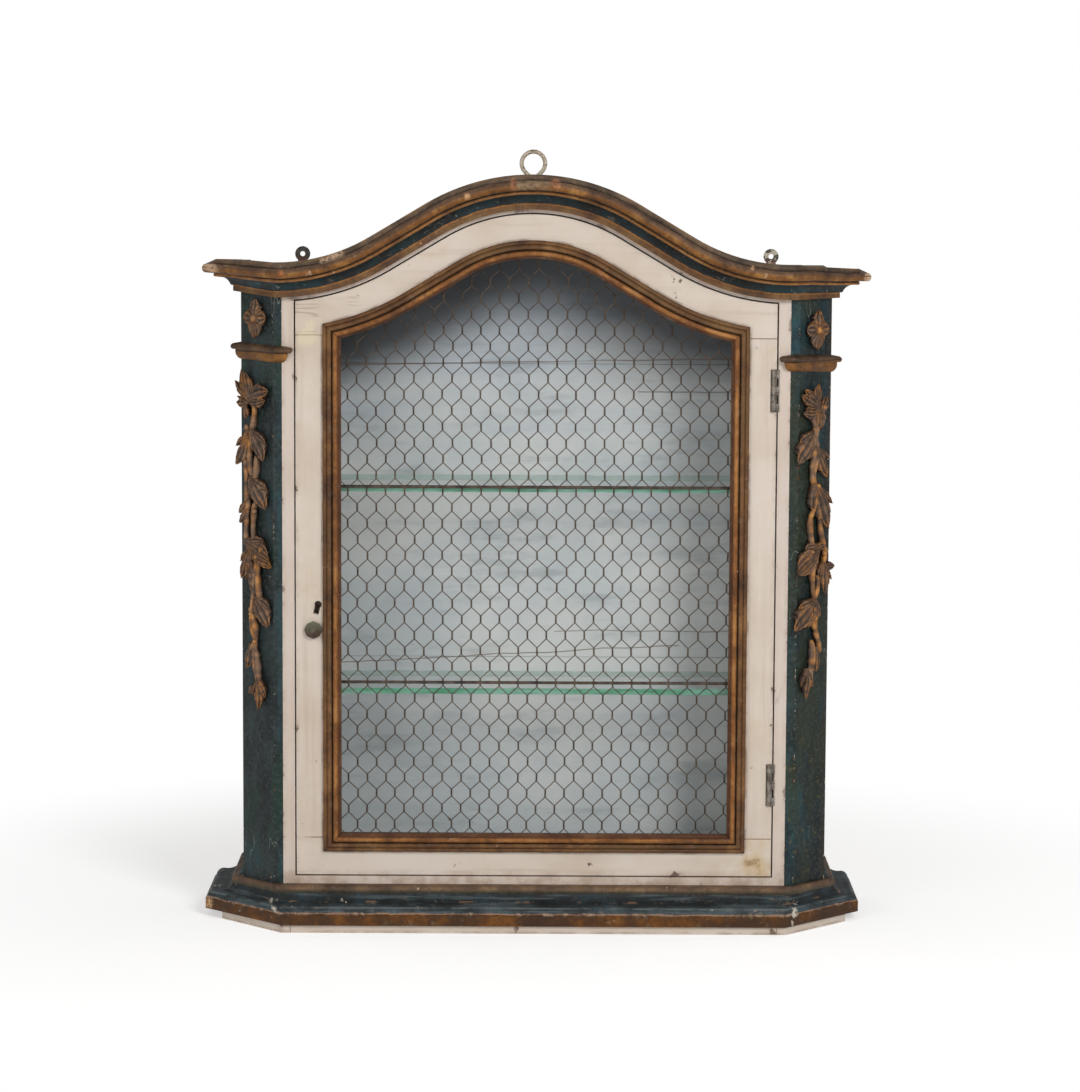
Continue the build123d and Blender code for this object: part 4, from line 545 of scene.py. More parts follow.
def base_marks(f, measure, wear, fine):
    """Long blue-grey streaks, a painted highlight along the ovolo's crest, pale chips on the arris
    and a broken tip.
    """
    streak = f.noise(230, 4, 0.6, f.stretched(0.05, 0.05, 1), 14.0)
    dark = f.band(measure, 20.6, 36.0, 0.6)
    f.cover(dark * f.step(streak, 0.5, 0.62) * 0.5, "5c686c")
    # A light grey line along the crest of the ovolo: a painted highlight.
    ovolo_highlight = f.near(measure, 25.4, 1.1) * f.step(f.noise(22, 5, 0.7, seed=19.0), 0.42, 0.56)
    f.cover(ovolo_highlight * 0.6, "7c8282")
    rust = f.near(measure, 28.6, 1.3) * f.step(f.noise(34, 5, 0.7, seed=21.0), 0.55, 0.6)
    f.cover(rust * 0.7, "8a6a54")
    arris = f.near(measure, 20.0, 2.2) * f.step(f.noise(75, 5, 0.66, seed=15.0), 0.5, 0.56)
    f.cover(arris * 0.85, f.tones(wear, (0.4, "b79f88"), (0.6, "8d6a52")))
    chip = f.band(measure, 12.0, 34.0, 3.0) * f.blots(55, 0.655, 16.0)
    f.cover(chip * 0.9, "d8cdbf")
    corner = f.near(abs(f.x), 262.0, 6.0) * f.band(measure, 8.0, 30.0, 2.0)
    f.cover(corner * f.blots(60, 0.54, 17.0) * 0.9, "e0d6c8")
    tip = f.fall(f.x, -332.0, -326.0) * f.band(f.z, 9.0, 19.0, 1.0) * f.fall(f.y, -31.0, -25.0)
    f.cover(tip * f.step(fine, 0.36, 0.42), f.tones(fine, (0.45, "9c7048"), (0.6, "d8b48a")))


def moulding_marks(f, measure, wear, _fine):
    """Dark mitres, olive places on the torus, and pale places along the crest of the bead that are
    partly rubbed gilding and partly a painted highlight.
    """
    f.cover(f.near(abs(f.x) - SIGHT_X, f.past_sight_ends(), 0.8) * 0.85, "22160e")
    olive = f.step(measure, 9.4, 10.0) * f.step(f.noise(9, 4, 0.6, seed=14.0), 0.5, 0.6)
    f.cover(olive * 0.5, "6b5233")
    # A pale line along the bead's crest: partly rubbed gilding, partly a painted highlight.
    rubbed = f.band(measure, 4.0, 6.4, 0.7) * f.step(wear, 0.46, 0.6)
    f.cover(rubbed * 0.5, "b5834f")


# A band is (where it starts, dark, middle, light, how much it glints).
CORNICE_BANDS = (
    (-9.0, "4a3424", "6b4a2c", "80603c", 0.15),
    (5.2, "7c5029", "9a683a", "b48048", 0.4),
    # The cove's band is darker than its own green-black paint: partly its paint, partly painted
    # shade under the torus.
    (6.6, "101415", "171d1e", "1f2d31", 0.0),
    (15.3, "74502f", "9c6a3c", "b08050", 0.4),
    (18.4, "1e130b", "2b1a0e", "3c2814", 0.0),
    (19.7, "573718", "7d5126", "aa7a42", 0.3),
    (25.0, "4a3426", "664b37", "836448", 0.1),
    (29.0, "2a1e16", "3a2a20", "4e3a2c", 0.0),
    (30.2, "46392d", "604e3d", "806750", 0.0),
)
BASE_BANDS = (
    (0.0, "3a2310", "4d3015", "794b1b", 0.25),
    (19.4, "5e4636", "8a6a54", "a88c74", 0.0),
    (20.6, "1f2526", "323c40", "4c5b60", 0.0),
    (27.0, "191e20", "23292b", "2f4048", 0.0),
    (36.0, "453f32", "5a5040", "6b604c", 0.1),
    (39.4, "4b3828", "665040", "86694c", 0.2),
    (44.4, "1b2021", "262f31", "2f4246", 0.0),
)
CAPITAL_BANDS = (
    (-3.0, "4c321b", "6f4a28", "9a6832", 0.3),
    (9.0, "2b1c11", "3c2819", "4c3422", 0.0),
    (10.3, "36271c", "513b2a", "70543b", 0.1),
)
MOULDING_BANDS = (
    (-3.0, "4a2f1c", "64402a", "80583c", 0.1),
    (2.9, "5f3a1c", "875528", "a36e3c", 0.35),
    (7.4, "30200f", "44301c", "553c26", 0.0),
    (9.3, "493120", "69472a", "87623c", 0.15),
)


# ---- Gilding on the carving -------------------------------------------------
def carving_gilding(name):
    """Gilding rubbed on the ridges and dust on the flats, darker in the cuts and towards the wood:
    partly dirt and partly painted shade.
    """
    f = Finish(name)
    relief = f.node("ShaderNodeAttribute", "Fac", {"attribute_name": "relief"}, {})
    cloud = f.noise(75, 5, 0.62)
    fine = f.noise(520, 4, 0.62)
    level = relief + (cloud - 0.5) * 1.1 + (fine - 0.5) * 0.45
    # The low end of these tones, in the cuts and where the carving meets the wood, is partly dirt
    # and partly painted shade.
    gilt_dirt_and_shade = (0.12, "2a1b11"), (0.34, "4a321f"), (0.55, "6b4a2d"), (0.74, "94602c"), (0.98, "c28a48")
    f.paint = f.tones(level, *gilt_dirt_and_shade)
    dust = f.step(f.noise(34, 5, 0.6, seed=4.0), 0.45, 0.58)
    f.cover(dust * 0.6, f.tones(level, (0.2, "32251b"), (0.5, "5e4c3e"), (0.85, "86715f")))
    shine = f.step(level, 0.6, 0.85) * (1 - dust) * 0.35
    return f.surface(0.42 + fine * 0.3, shine, fine + cloud * 0.5, 0.35)


# ---- Metal, glass and small parts -------------------------------------------
def worn_metal(name, light, dark, metal=0.7, rough=0.45, rust_level=0.56):
    """Worn steel or iron, with rust where its cloud is above the level."""
    f = Finish(name)
    cloud = f.noise(140, 5, 0.62)
    f.paint = f.blend(f.step(cloud, 0.38, 0.62), light, dark)
    rust = f.blots(240, rust_level, 5.0)
    f.cover(rust * 0.75, f.tones(cloud, (0.4, "6b3c22"), (0.6, "40281a")))
    return f.surface(rust * 0.3 + rough, (1 - rust) * metal, cloud - rust * 0.4, 0.25)


def shelf_glass(name):
    """Float glass: nearly clear through its faces and green through its edges."""
    f = Finish(name)
    normal = f.node("ShaderNodeNewGeometry", "Normal", {}, {})
    parts = f.add("ShaderNodeSeparateXYZ", {}, {"Vector": normal})
    edge = f.fall(abs(Layer(f, parts.outputs[2])), 0.3, 0.7)
    front = f.fall(f.y, -10.0, 20.0)
    cloud = f.noise(18, 4, 0.6, f.stretched(1, 1, 6))
    rim = f.blend(front, "b9d6ca", f.tones(cloud, (0.4, "3f8f6a"), (0.62, "7fb7a0")))
    f.paint = f.blend(edge, "dcebe6", rim)
    cover = edge * (front * 0.5 + 0.28) + 0.13
    return f.surface(0.05, Alpha=cover, IOR=1.45)


def knob_paint(name):
    """A turned knob in greenish grey, lighter towards its top and dark towards its foot."""
    f = Finish(name)
    cloud = f.noise(260, 5, 0.62)
    level = (f.z - KNOB_LOW) * KNOB_RISE + (cloud - 0.5) * 0.8
    f.paint = f.tones(level, (0.1, "33261b"), (0.42, "524332"), (0.68, "5d5d4b"), (0.95, "6e6f5b"))
    return f.surface(0.36 + cloud * 0.3, height=cloud, depth=0.3)


def loop_paint(name):
    """Chipped off-white paint on an iron loop, with rust where it has gone."""
    f = Finish(name)
    cloud = f.noise(150, 5, 0.62)
    # The lower legs, where they go down behind the cornice, turn greenish grey: painted shade.
    low = f.fall(f.z, 757.0, 766.0)
    f.paint = f.blend(f.step(cloud, 0.4, 0.62), "d0c4b0", "b3a48c")
    f.cover(low * 0.6, "b6b99c")
    rust = f.blots(220, 0.57, 3.0)
    f.cover(rust * 0.85, f.tones(cloud, (0.42, "8a4a2a"), (0.6, "4a3020")))
    return f.surface(0.5, height=cloud * 0.4 - rust, depth=0.3)


def plate_metal(name):
    """Dull eye plates; the right one still carries cream paint and a rusty foot."""
    f = Finish(name)
    cloud = f.noise(130, 5, 0.62)
    f.paint = f.blend(f.step(cloud, 0.38, 0.62), "57524d", "3a3531")
    right = f.x > 0.0
    f.cover(right * f.blots(110, 0.47, 2.0), "cfc6b0")
    foot = f.fall(f.z, 664.0, 672.0)
    f.cover(foot * f.step(cloud, 0.4, 0.56) * 0.8, "7a3f28")
    return f.surface(0.5, (1 - right) * 0.5, cloud, 0.3)


FINISH_OF = {
    "base_board": cream_paint("base_board_cream", LEVEL, board_marks),
    "base_moulding": worn_moulding(
        "base_moulding_bands", lambda f: f.z, BASE_BANDS, base_marks, 30.0
    ),
    "floor_board": plain_wood("floor_board_grey", ACROSS_GRAIN, "a9b0b0", "87908f"),
    "side_board_left": green_paint("left_side_green", -1),
    "side_board_right": green_paint("right_side_green", 1),
    "frame_stile": cream_paint("frame_stile_cream", UPRIGHT, frame_marks),
    "frame_rail": cream_paint("frame_rail_cream", LEVEL, frame_marks),
    "back_plank": plank_paint("back_plank_blue_grey"),
    # The roof board's bare wood is darker than the other bare boards: partly its own colour, partly
    # painted shade under the roof.
    "roof_board": plain_wood("roof_board_wood_and_shade", ACROSS_GRAIN, "7a6048", "4c3a2a"),
    "cornice": worn_moulding(
        "cornice_bands", cornice_measure, CORNICE_BANDS, cornice_marks, 10.0
    ),
    "capital": worn_moulding("capital_gilding", capital_measure, CAPITAL_BANDS, None, 20.0),
    "rosette": carving_gilding("carving_gilding"),
    "door_stile": cream_paint("door_stile_cream", UPRIGHT, door_marks),
    "door_rail": cream_paint("door_rail_cream", LEVEL, door_marks),
    "door_moulding": worn_moulding(
        "door_moulding_gilding", Finish.sight_distance, MOULDING_BANDS, moulding_marks, 40.0
    ),
    "netting": worn_metal("netting_wire_brown", "6a5a4a", "42352b", 0.3, 0.55, 0.6),
    "stay_rod": worn_metal("stay_rod_iron", "5f5348", "3a302a", 0.4, 0.5),
    "rod_staples": worn_metal("staple_iron", "5f5348", "3a302a", 0.4, 0.5),
    "shelf_bearers": plain_wood("bearer_wood", DEEP_GRAIN, "a9aeab", "7f8482"),
    "shelf": shelf_glass("shelf_glass_green"),
    "hinge_screws": worn_metal("hinge_screw_steel", "8f8a82", "514a42"),
    "hinge": worn_metal("hinge_steel", "8f897f", "5d564d", 0.6, 0.4),
    "lock": worn_metal("lock_iron", "6b6258", "3a322b"),
    "knob": knob_paint("knob_worn_paint"),
    "hanging_loop": loop_paint("hanging_loop_chipped"),
    "hanging_plates": plate_metal("eye_plate_metal"),
    "hanger_screws": worn_metal("hanger_screw_iron", "57524c", "2e2a26"),
}
FINISH_OF["corner_post_left"] = FINISH_OF["side_board_left"]
FINISH_OF["corner_post_right"] = FINISH_OF["side_board_right"]
FINISH_OF["garland"] = FINISH_OF["rosette"]


def dress_nodes():
    """Every solid gets the finish of the longest name that its own name starts with."""
    for name, node in NODES.items():
        matches = [start for start in FINISH_OF if name.startswith(start)]
        for place in node.material_slots:
            place.material = FINISH_OF[max(matches, key=len)]


# ---- Building pieces --------------------------------------------------------
def linked(name, data):
    """A new object in the scene."""
    made = bpy.data.objects.new(name, data)
    bpy.context.scene.collection.objects.link(made)
    return made


def solid(name, mesh_maker, finish, body):
    """A piece from a mesh builder, with its finish, riding on one body."""
    shape = bmesh.new()
    mesh_maker(shape)
    bmesh.ops.recalc_face_normals(shape, faces=shape.faces)
    mesh = bpy.data.meshes.new(name)
    shape.to_mesh(mesh)
    shape.free()
    mesh.materials.append(finish)
    piece = linked(name, mesh)
    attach(piece, body)
    return piece


def skin(shape, rings, closed=True):
    """Faces between neighbouring rings of corners, and at both ends if each ring is closed."""
    for ring, following in zip(rings[:-1], rings[1:]):
        for side in range(len(ring) if closed else len(ring) - 1):
            last = (side + 1) % len(ring)
            face = shape.faces.new((ring[side], ring[last], following[last], following[side]))
            face.smooth = True
    if closed:
        shape.faces.new(rings[0])
        shape.faces.new(rings[-1])


def tube(shape, points, radius, sides):
    """A round wire along a line of points in metres, closed at both ends."""
    rings = []
    across = None
    for number, point in enumerate(points):
        before = points[max(number - 1, 0)]
        after = points[min(number + 1, len(points) - 1)]
        along = (after - before).normalized()
        if across is None:
            across = along.orthogonal().normalized()
        across = (across - along * across.dot(along)).normalized()
        other = along.cross(across)
        ring = []
        for side in range(sides):
            angle = 2 * pi * side / sides
            spot = point + radius * (cos(angle) * across + sin(angle) * other)
            ring.append(shape.verts.new(spot))
        rings.append(ring)
    skin(shape, rings)


# ---- Netting ----------------------------------------------------------------
# Each wire is twisted with its neighbours to the left and right in turn. NET_X
# and NET_Z are the middle of one twist, from which the others are counted.
NET_PITCH = 19.05
NET_ROW = 16.17
NET_X = -178.9
NET_Y = -58.75
NET_Z = 489.1
NET_WIRES = range(-3, 41)
NET_ROWS = range(-12, 26)
NET_TWIST = 8.2
NET_TURNS = 2
NET_STEPS = 14
NET_WIRE_RADIUS = 0.52
NET_WIRE_SIDES = 5
NET_STRAND_RADIUS = NET_WIRE_RADIUS * 1.05
NET_HALF_WIDTH = 204.0
NET_LOW = 85.5
NET_OFFSET = -38.8
NET_PULL = (1.6, 0.5, 1.4)
NET_PULL_LAYERS = (3.0, 21.0, 47.0)
NET_PULL_SCALE = 0.014


def arch_height(offset, x):
    """The height of the arch at one offset from the cornice's lower line."""
    across = abs(x - ARCH_CENTRE_X)
    crown, foot = ARCH_CROWN_RADIUS + offset, ARCH_FOOT_RADIUS - offset
    if across >= ARCH_HALF_SPAN:
        return ARCH_FOOT_Z + offset
    if across <= crown * sin(ARCH_SLOPE):
        return CROWN_CENTRE_Z + sqrt(crown**2 - across**2)
    from_foot = ARCH_HALF_SPAN - across
    if from_foot <= foot * sin(ARCH_SLOPE):
        return FOOT_CENTRE_Z - sqrt(foot**2 - from_foot**2)
    start = CROWN_CENTRE_Z + crown * cos(ARCH_SLOPE)
    return start - (across - crown * sin(ARCH_SLOPE)) * tan(ARCH_SLOPE)


def uneven(x, z):
    """A point of the netting, pulled a little out of true."""
    place = Vector((x, NET_Y, z))
    for axis, (pull, layer) in enumerate(zip(NET_PULL, NET_PULL_LAYERS)):
        spot = Vector((x * NET_PULL_SCALE, layer, z * NET_PULL_SCALE))
        place[axis] += noise.noise(spot) * pull
    return place


def net_wire(number):
    """The points of one wire, from top to bottom."""
    for row in NET_ROWS:
        shared = number + (row + number) % 2
        phase = 0.0 if shared == number else pi
        x = NET_X + shared * NET_PITCH / 2
        z = NET_Z - row * NET_ROW
        for step in range(NET_STEPS + 1):
            turned = step / NET_STEPS
            angle = phase + 2 * pi * NET_TURNS * turned
            centre = uneven(x, z + NET_TWIST * (0.5 - turned))
            yield centre + Vector((cos(angle), sin(angle), 0.0)) * NET_STRAND_RADIUS


def in_door(point):
    """Whether a point of the netting is in the door's opening or its rebate."""
    top = arch_height(NET_OFFSET, point.x)
    return abs(point.x) < NET_HALF_WIDTH and NET_LOW < point.z < top


def netting_wires(shape):
    """Every wire of the netting, cut off behind the door's wood."""
    for number in NET_WIRES:
        for kept, points in groupby(net_wire(number), in_door):
            run = [point * MM for point in points]
            if kept and len(run) > 2:
                tube(shape, run, NET_WIRE_RADIUS * MM, NET_WIRE_SIDES)


# ---- Carving ----------------------------------------------------------------
# A leaf is (across, up, length, width, angle from up, kind), a stem is (start,
# end, bow) and a bud is (across, up, radius). They lie on the canted face,
# counted from its middle and from the foot of the capital. "rib" leaves are
# slim at the stalk and jagged at the end, "fan" leaves have ribs that spread
# to a scalloped tip. Long leaves get side lobes: (turn, share of the length).
LEAF_THICKNESS = 7.0
LEAF_SWELL = 0.05
LEAF_ROWS = 24
LEAF_COLUMNS = 14
LEAF_TIP_START = 0.6
LOBED_LENGTH = 31.0
LOBE_WIDTH = 0.5
SIDE_LOBES = ((-27.0, 0.7), (24.0, 0.62))
STEM_RADIUS = 3.2
STEM_OUT = 3.6
STEM_STEP = 2.5
BUD_OUT = 5.6
BUD_RINGS = 7
ROUND_SIDES = 12
ROSETTE_LOBES = (
    (0, -1, 21.0, 14.0, 4, "rib"),
    (0, 0, 17.0, 13.0, 86, "rib"),
    (0, 0, 20.0, 15.0, 180, "fan"),
    (0, 0, 17.0, 13.0, 274, "rib"),
    (0, 0, 13.5, 7.0, 45, "rib"),
    (0, 0, 14.5, 7.5, 140, "rib"),
    (0, 0, 14.0, 7.5, 222, "rib"),
    (0, 0, 13.0, 7.0, 313, "rib"),
)
ROSETTE_INSET = 2.2
ROSETTE_BOSS_RADIUS = 4.2
ROSETTE_BOSS_OUT = 5.4
LEFT_LEAVES = (
    (-4, -41, 35, 15, -23, "fan"),
    (-3, -41, 32, 10, -50, "rib"),
    (-4, -39, 22, 10, -99, "rib"),
    (-9, -37, 33, 14, 75, "rib"),
    (-7, -42, 25, 9, 82, "rib"),
    (-12, -43, 15, 7, -180, "rib"),
    (-8, -73, 37, 14, -149, "rib"),
    (-3, -68, 36, 16, 150, "rib"),
    (-5, -115, 40, 19, 143, "rib"),
    (-8, -138, 22, 9, -135, "rib"),
    (-8, -148, 21, 9, -137, "rib"),
    (-15, -181, 44, 19, 114, "fan"),
    (1, -198, 27, 9, 105, "rib"),
    (-5, -189, 34, 11, -155, "rib"),
    (-4, -202, 32, 10, 178, "rib"),
    (1, -236, 37, 18, 145, "rib"),
    (-6, -284, 27, 12, -166, "rib"),
    (5, -325, 19, 7, -125, "rib"),
    (5, -317, 34, 11, 178, "rib"),
)
LEFT_STEMS = (
    ((-1, -39), (-4, -71), 3),
    ((-7, -67), (-15, -92), -3),
    ((-4, -69), (-3, -119), -3),
    ((3, -94), (0, -119), 2),
    ((-14, -98), (-13, -181), 3),
    ((3, -139), (1, -185), -4),
    ((6, -199), (8, -240), -2),
    ((2, -194), (-4, -241), 2),
    ((-4, -238), (-5, -258), 1),
    ((-3, -253), (2, -283), -3),
    ((-4, -253), (0, -281), 3),
    ((0, -279), (-12, -298), 2),
    ((2, -277), (9, -331), -5),
    ((0, -286), (2, -332), 4),
)
LEFT_BUDS = (
    (-9, -66, 3.2),
    (2, -150, 3.0),
    (12, -188, 3.6),
    (4, -196, 2.8),
    (-4, -250, 3.2),
    (2, -282, 2.8),
)
RIGHT_LEAVES = (
    (-2, -37, 25, 10, 3, "fan"),
    (3, -37, 32, 11, -65, "rib"),
    (1, -38, 30, 9, -47, "rib"),
    (4, -40, 27, 9, -93, "rib"),
    (3, -46, 22, 10, 27, "rib"),
    (0, -35, 25, 18, 172, "fan"),
    (-7, -60, 40, 18, -143, "rib"),
    (-4, -75, 38, 13, 150, "rib"),
    (-6, -113, 51, 19, 154, "rib"),
    (3, -175, 21, 9, -95, "rib"),
    (-2, -178, 16, 9, 82, "rib"),
    (3, -180, 41, 21, -125, "fan"),
    (11, -191, 35, 13, 176, "rib"),
    (11, -197, 17, 8, 95, "rib"),
    (-1, -229, 44, 19, -132, "rib"),
    (1, -231, 22, 12, -173, "rib"),
    (2, -278, 26, 14, -178, "rib"),
    (-13, -299, 32, 7, -178, "rib"),
)
RIGHT_STEMS = (
    ((-6, -49), (-7, -74), 2),
    ((-1, -54), (1, -82), -2),
    ((-7, -69), (-8, -99), 2),
    ((-7, -87), (-2, -118), -3),
    ((2, -82), (-3, -118), -4),
    ((-5, -116), (-10, -149), 4),
    ((-9, -146), (-3, -182), -3),
    ((3, -120), (12, -179), -3),
    ((2, -206), (-5, -237), 3),
    ((12, -176), (11, -195), 1),
    ((-5, -194), (1, -237), -3),
    ((2, -237), (9, -278), -6),
    ((-8, -247), (8, -285), 2),
    ((-5, -271), (-11, -321), 4),
    ((-6, -279), (-13, -315), 3),
)
RIGHT_BUDS = (
    (8, -37, 3.2),
    (-6, -62, 3.0),
    (0, -116, 3.2),
    (11, -184, 3.4),
    (-8, -182, 3.2),
    (-3, -240, 3.0),
)


def canted_place(side, z, shift=0.0):
    """A way to turn across, up and out on a canted face into a place."""
    slant = sqrt(0.5)

    def place(across, up, out):
        across += shift
        x = CANT_MIDDLE_X * side + across * slant + side * out * slant
        y = CANT_MIDDLE_Y + side * across * slant - out * slant
        return Vector((x, y, z + up)) * MM

    return place


def corner(shape, place, relief):
    """A corner of a carving; its relief is 0 in the cuts and 1 on the ridges, and a low relief is
    painted darker, partly as painted shade.
    """
    made = shape.verts.new(place)
    made[shape.verts.layers.float["relief"]] = min(1.0, max(0.0, relief))
    return made


def rib_leaf(t, s, length, width):
    """A leaf fluted from its stalk (t = 0) to its jagged tips, for s from edge to edge."""
    wave = cos(2 * pi * (1.45 * s + 0.08))
    flute = wave * min(1.0, 0.3 + t)
    if t < LEAF_TIP_START:
        half = 0.26 + 0.74 * sin(0.5 * pi * t / LEAF_TIP_START) ** 1.5
    else:
        narrowing = (t - LEAF_TIP_START) / (1 - LEAF_TIP_START)
        half = max(0.0, cos(0.5 * pi * narrowing)) ** 0.62
    teeth, first_tooth = (3.7, 0.1) if s < 0 else (3.1, 0.55)
    notch = max(0.0, 1 - abs((t * teeth + first_tooth) % 1.0 - 0.88) / 0.17) * min(1.0, t * 1.6)
    half = width / 2 * max(half * (1 - 0.42 * notch * abs(s) ** 3), 0.03)
    along = length * t * (1 - 0.05 * s * s * t - 0.11 * (1 - wave) * t**3)
    along += 0.3 * half * s * s * (1 - t)
    height = 1 - 0.36 * s * s + 0.11 * flute - 0.1 * notch * abs(s)
    return s * half, along, height, 0.46 + 0.3 * flute - 0.25 * notch


def fan_leaf(t, s, length, width):
    """A leaf whose ribs spread from the stalk (t = 0), for s from edge to edge."""
    wave = cos(2 * pi * s * 2.5)
    rib = wave * min(1.0, 0.25 + t)
    narrowing = max(0.0, (t - LEAF_TIP_START) / (1 - LEAF_TIP_START))
    half = min(1.0, 0.34 + t**0.8) * sqrt(max(0.0, 1 - narrowing**2.4))
    half = width / 2 * max(half, 0.05)
    along = length * t * (1 - 0.16 * s * s * t) * (1 - 0.085 * (1 - wave) * t * t)
    height = 0.92 - 0.3 * s * s + 0.13 * rib + 0.06 * sin(pi * t)
    return s * half, along, height, 0.44 + 0.32 * rib + 0.08 * t


def carved_leaf(shape, place, leaf):
    """One carved leaf: a ribbed top, thin sides and a flat back on the wood."""
    u, v, length, width, angle, kind = leaf
    outline = rib_leaf if kind == "rib" else fan_leaf
    thickness = LEAF_THICKNESS + LEAF_SWELL * length
    bow = noise.noise(Vector((u * 0.31, v * 0.17, length * 0.13))) * 0.16 * length
    turn = radians(angle)
    rows = []
    for row in range(LEAF_ROWS + 1):
        t = row / LEAF_ROWS
        body = thickness * (0.66 + 0.27 * sin(pi * min(1.0, 0.12 + t * 0.95)))
        top, foot = [], []
        for column in range(LEAF_COLUMNS + 1):
            s = 2 * column / LEAF_COLUMNS - 1
            across, along, height, relief = outline(t, s, length * 1.04, width * 1.16)
            across += bow * 4 * t * (1 - t)
            grit = noise.noise(Vector((u + across, v + along, length)) * 0.22)
            out = min(thickness, body * height * (1 + 0.12 * grit))
            side = u + across * cos(turn) + along * sin(turn)
            up = v - across * sin(turn) + along * cos(turn)
            top.append(corner(shape, place(side, up, out), relief + 0.2 * grit))
            if column in (0, LEAF_COLUMNS):
                # Where the leaf's sides meet the wood the relief is 0, the darkest colour: painted
                # shade.
                foot.append(corner(shape, place(side, up, 0.0), 0.0))
        rows.append([foot[0], *top, foot[1]])
    skin(shape, rows, closed=False)
    for low, high in zip(rows[:-1], rows[1:]):
        shape.faces.new((low[0], low[-1], high[-1], high[0]))
    shape.faces.new(rows[0])
    shape.faces.new(rows[-1])


def carved_stem(shape, place, start, end, bow):
    """A rounded stem, bowed sideways, thinner at its ends."""
    start, end = Vector(start), Vector(end)
    chord = end - start
    normal = Vector((-chord.y, chord.x)).normalized()
    steps = max(8, round(chord.length / STEM_STEP))
    rings = []
    for step in range(steps + 1):
        t = step / steps
        centre = start + chord * t + normal * bow * 4 * t * (1 - t)
        grit = noise.noise(Vector((centre.x, centre.y, 1.0)) * 0.19)
        width = STEM_RADIUS * (1 - 0.5 * (2 * t - 1) ** 8) * (1 + 0.14 * grit)
        ring = []
        for side in range(ROUND_SIDES):
            angle = 2 * pi * (side + 0.5) / ROUND_SIDES
            reach = width * (1 + 0.2 * cos(2 * angle + 0.16 * (centre.x + centre.y)))
            across = centre + normal * reach * cos(angle)
            spot = place(across.x, across.y, STEM_OUT + reach * sin(angle))
            # The side of the stem that faces out gets a higher relief and the side towards the wood
            # a lower one: painted shade.
            ring.append(corner(shape, spot, 0.36 + 0.4 * sin(angle) + 0.5 * grit))
        rings.append(ring)
    skin(shape, rings)


def carved_bud(shape, place, u, v, radius, centre_out):
    """A rounded bud or boss that stands on the carving."""
    rings = []
    for step in range(BUD_RINGS):
        rise = pi * ((step + 0.3) / (BUD_RINGS - 0.4) - 0.5)
        out = centre_out + radius * 0.8 * sin(rise)
        ring = []
        for side in range(ROUND_SIDES):
            angle = 2 * pi * side / ROUND_SIDES
            reach = radius * cos(rise) * (1 + 0.08 * cos(angle * 3))
            spot = place(u + reach * cos(angle), v + reach * sin(angle), out)
            # A bud is lighter on its top and darker towards the wood: painted shade.
            ring.append(corner(shape, spot, 0.5 + 0.45 * sin(rise)))
        rings.append(ring)
    skin(shape, rings)


def rosette(side, z):
    """Eight lobes round a boss, on a corner post above its capital."""

    def build(shape):
        shape.verts.layers.float.new("relief")
        place = canted_place(side, z, -side * ROSETTE_INSET)
        for lobe in ROSETTE_LOBES:
            carved_leaf(shape, place, lobe)
        carved_bud(shape, place, 0.0, 0.0, ROSETTE_BOSS_RADIUS, ROSETTE_BOSS_OUT)

    return build


def garland(side, foot_z, leaves, stems, buds):
    """A hanging chain of leaves, stems and buds below a capital."""

    def build(shape):
        shape.verts.layers.float.new("relief")
        place = canted_place(side, foot_z)
        for stem in stems:
            carved_stem(shape, place, *stem)
        for leaf in leaves:
            carved_leaf(shape, place, leaf)
            u, v, length, width, angle, _ = leaf
            if length > LOBED_LENGTH:
                for turn, share in SIDE_LOBES:
                    lobe = (u, v, length * share, width * LOBE_WIDTH, angle + turn, "rib")
                    carved_leaf(shape, place, lobe)
        for u, v, radius in buds:
            carved_bud(shape, place, u, v, radius, BUD_OUT)

    return build


CARVINGS = (
    ("rosette_left", rosette(-1, 613.5)),
    ("rosette_right", rosette(1, 604.5)),
    ("garland_left", garland(-1, CAPITAL_FOOT_LEFT, LEFT_LEAVES, LEFT_STEMS, LEFT_BUDS)),
    ("garland_right", garland(1, CAPITAL_FOOT_RIGHT, RIGHT_LEAVES, RIGHT_STEMS, RIGHT_BUDS)),
)


# ---- Light, floor and camera ------------------------------------------------
# Places and sizes here are in metres, as Blender takes them. The sensor is in
# millimetres, and the lens in pixels of the render, counted on its long side.
WHITE = (1.0, 1.0, 1.0, 1.0)
FLOOR_REACH = 60.0
FLOOR_Z = -0.0005
FLOOR_CORNERS = ((-1, -1), (1, -1), (1, 1), (-1, 1))
CAMERA_DISTANCE = 3.65
CAMERA_AIM = (0.0047, -0.078, 0.388)
CAMERA_PITCH = radians(6.7)
CAMERA_ROLL = radians(0.28)
SENSOR_WIDTH = 36.0
FOCAL_PIXELS = 3650
LONG_SIDE_PIXELS = 1092


def floor():
    """A pale floor that keeps a soft shadow near the case and is white beyond."""
    f = Finish("floor_white")
    matt = f.node("ShaderNodeBsdfDiffuse", 0, {}, {"Color": (0.9, 0.9, 0.9, 1.0)})
    lift = f.node("ShaderNodeEmission", 0, {}, {"Color": WHITE, "Strength": 0.46})
    near = f.node("ShaderNodeAddShader", 0, {}, {0: matt, 1: lift})
    far = f.node("ShaderNodeEmission", 0, {}, {"Color": WHITE, "Strength": 1.0})
    away = (f.x * f.x + f.y * f.y) ** 0.5
    seen = f.rays("Camera", "Glossy", "Transmission")
    ground = f.node("ShaderNodeMixShader", 0, {}, {0: f.step(away, 420.0, 900.0), 1: near, 2: far})
    mixed = f.node("ShaderNodeMixShader", 0, {}, {0: seen, 1: matt, 2: ground})
    f.add("ShaderNodeOutputMaterial", {}, {"Surface": mixed})
    mesh = bpy.data.meshes.new("floor")
    corners = [(x * FLOOR_REACH, y * FLOOR_REACH, FLOOR_Z) for x, y in FLOOR_CORNERS]
    mesh.from_pydata(corners, [], [(0, 1, 2, 3)])
    mesh.materials.append(f.material)
    sheet = linked("floor", mesh)


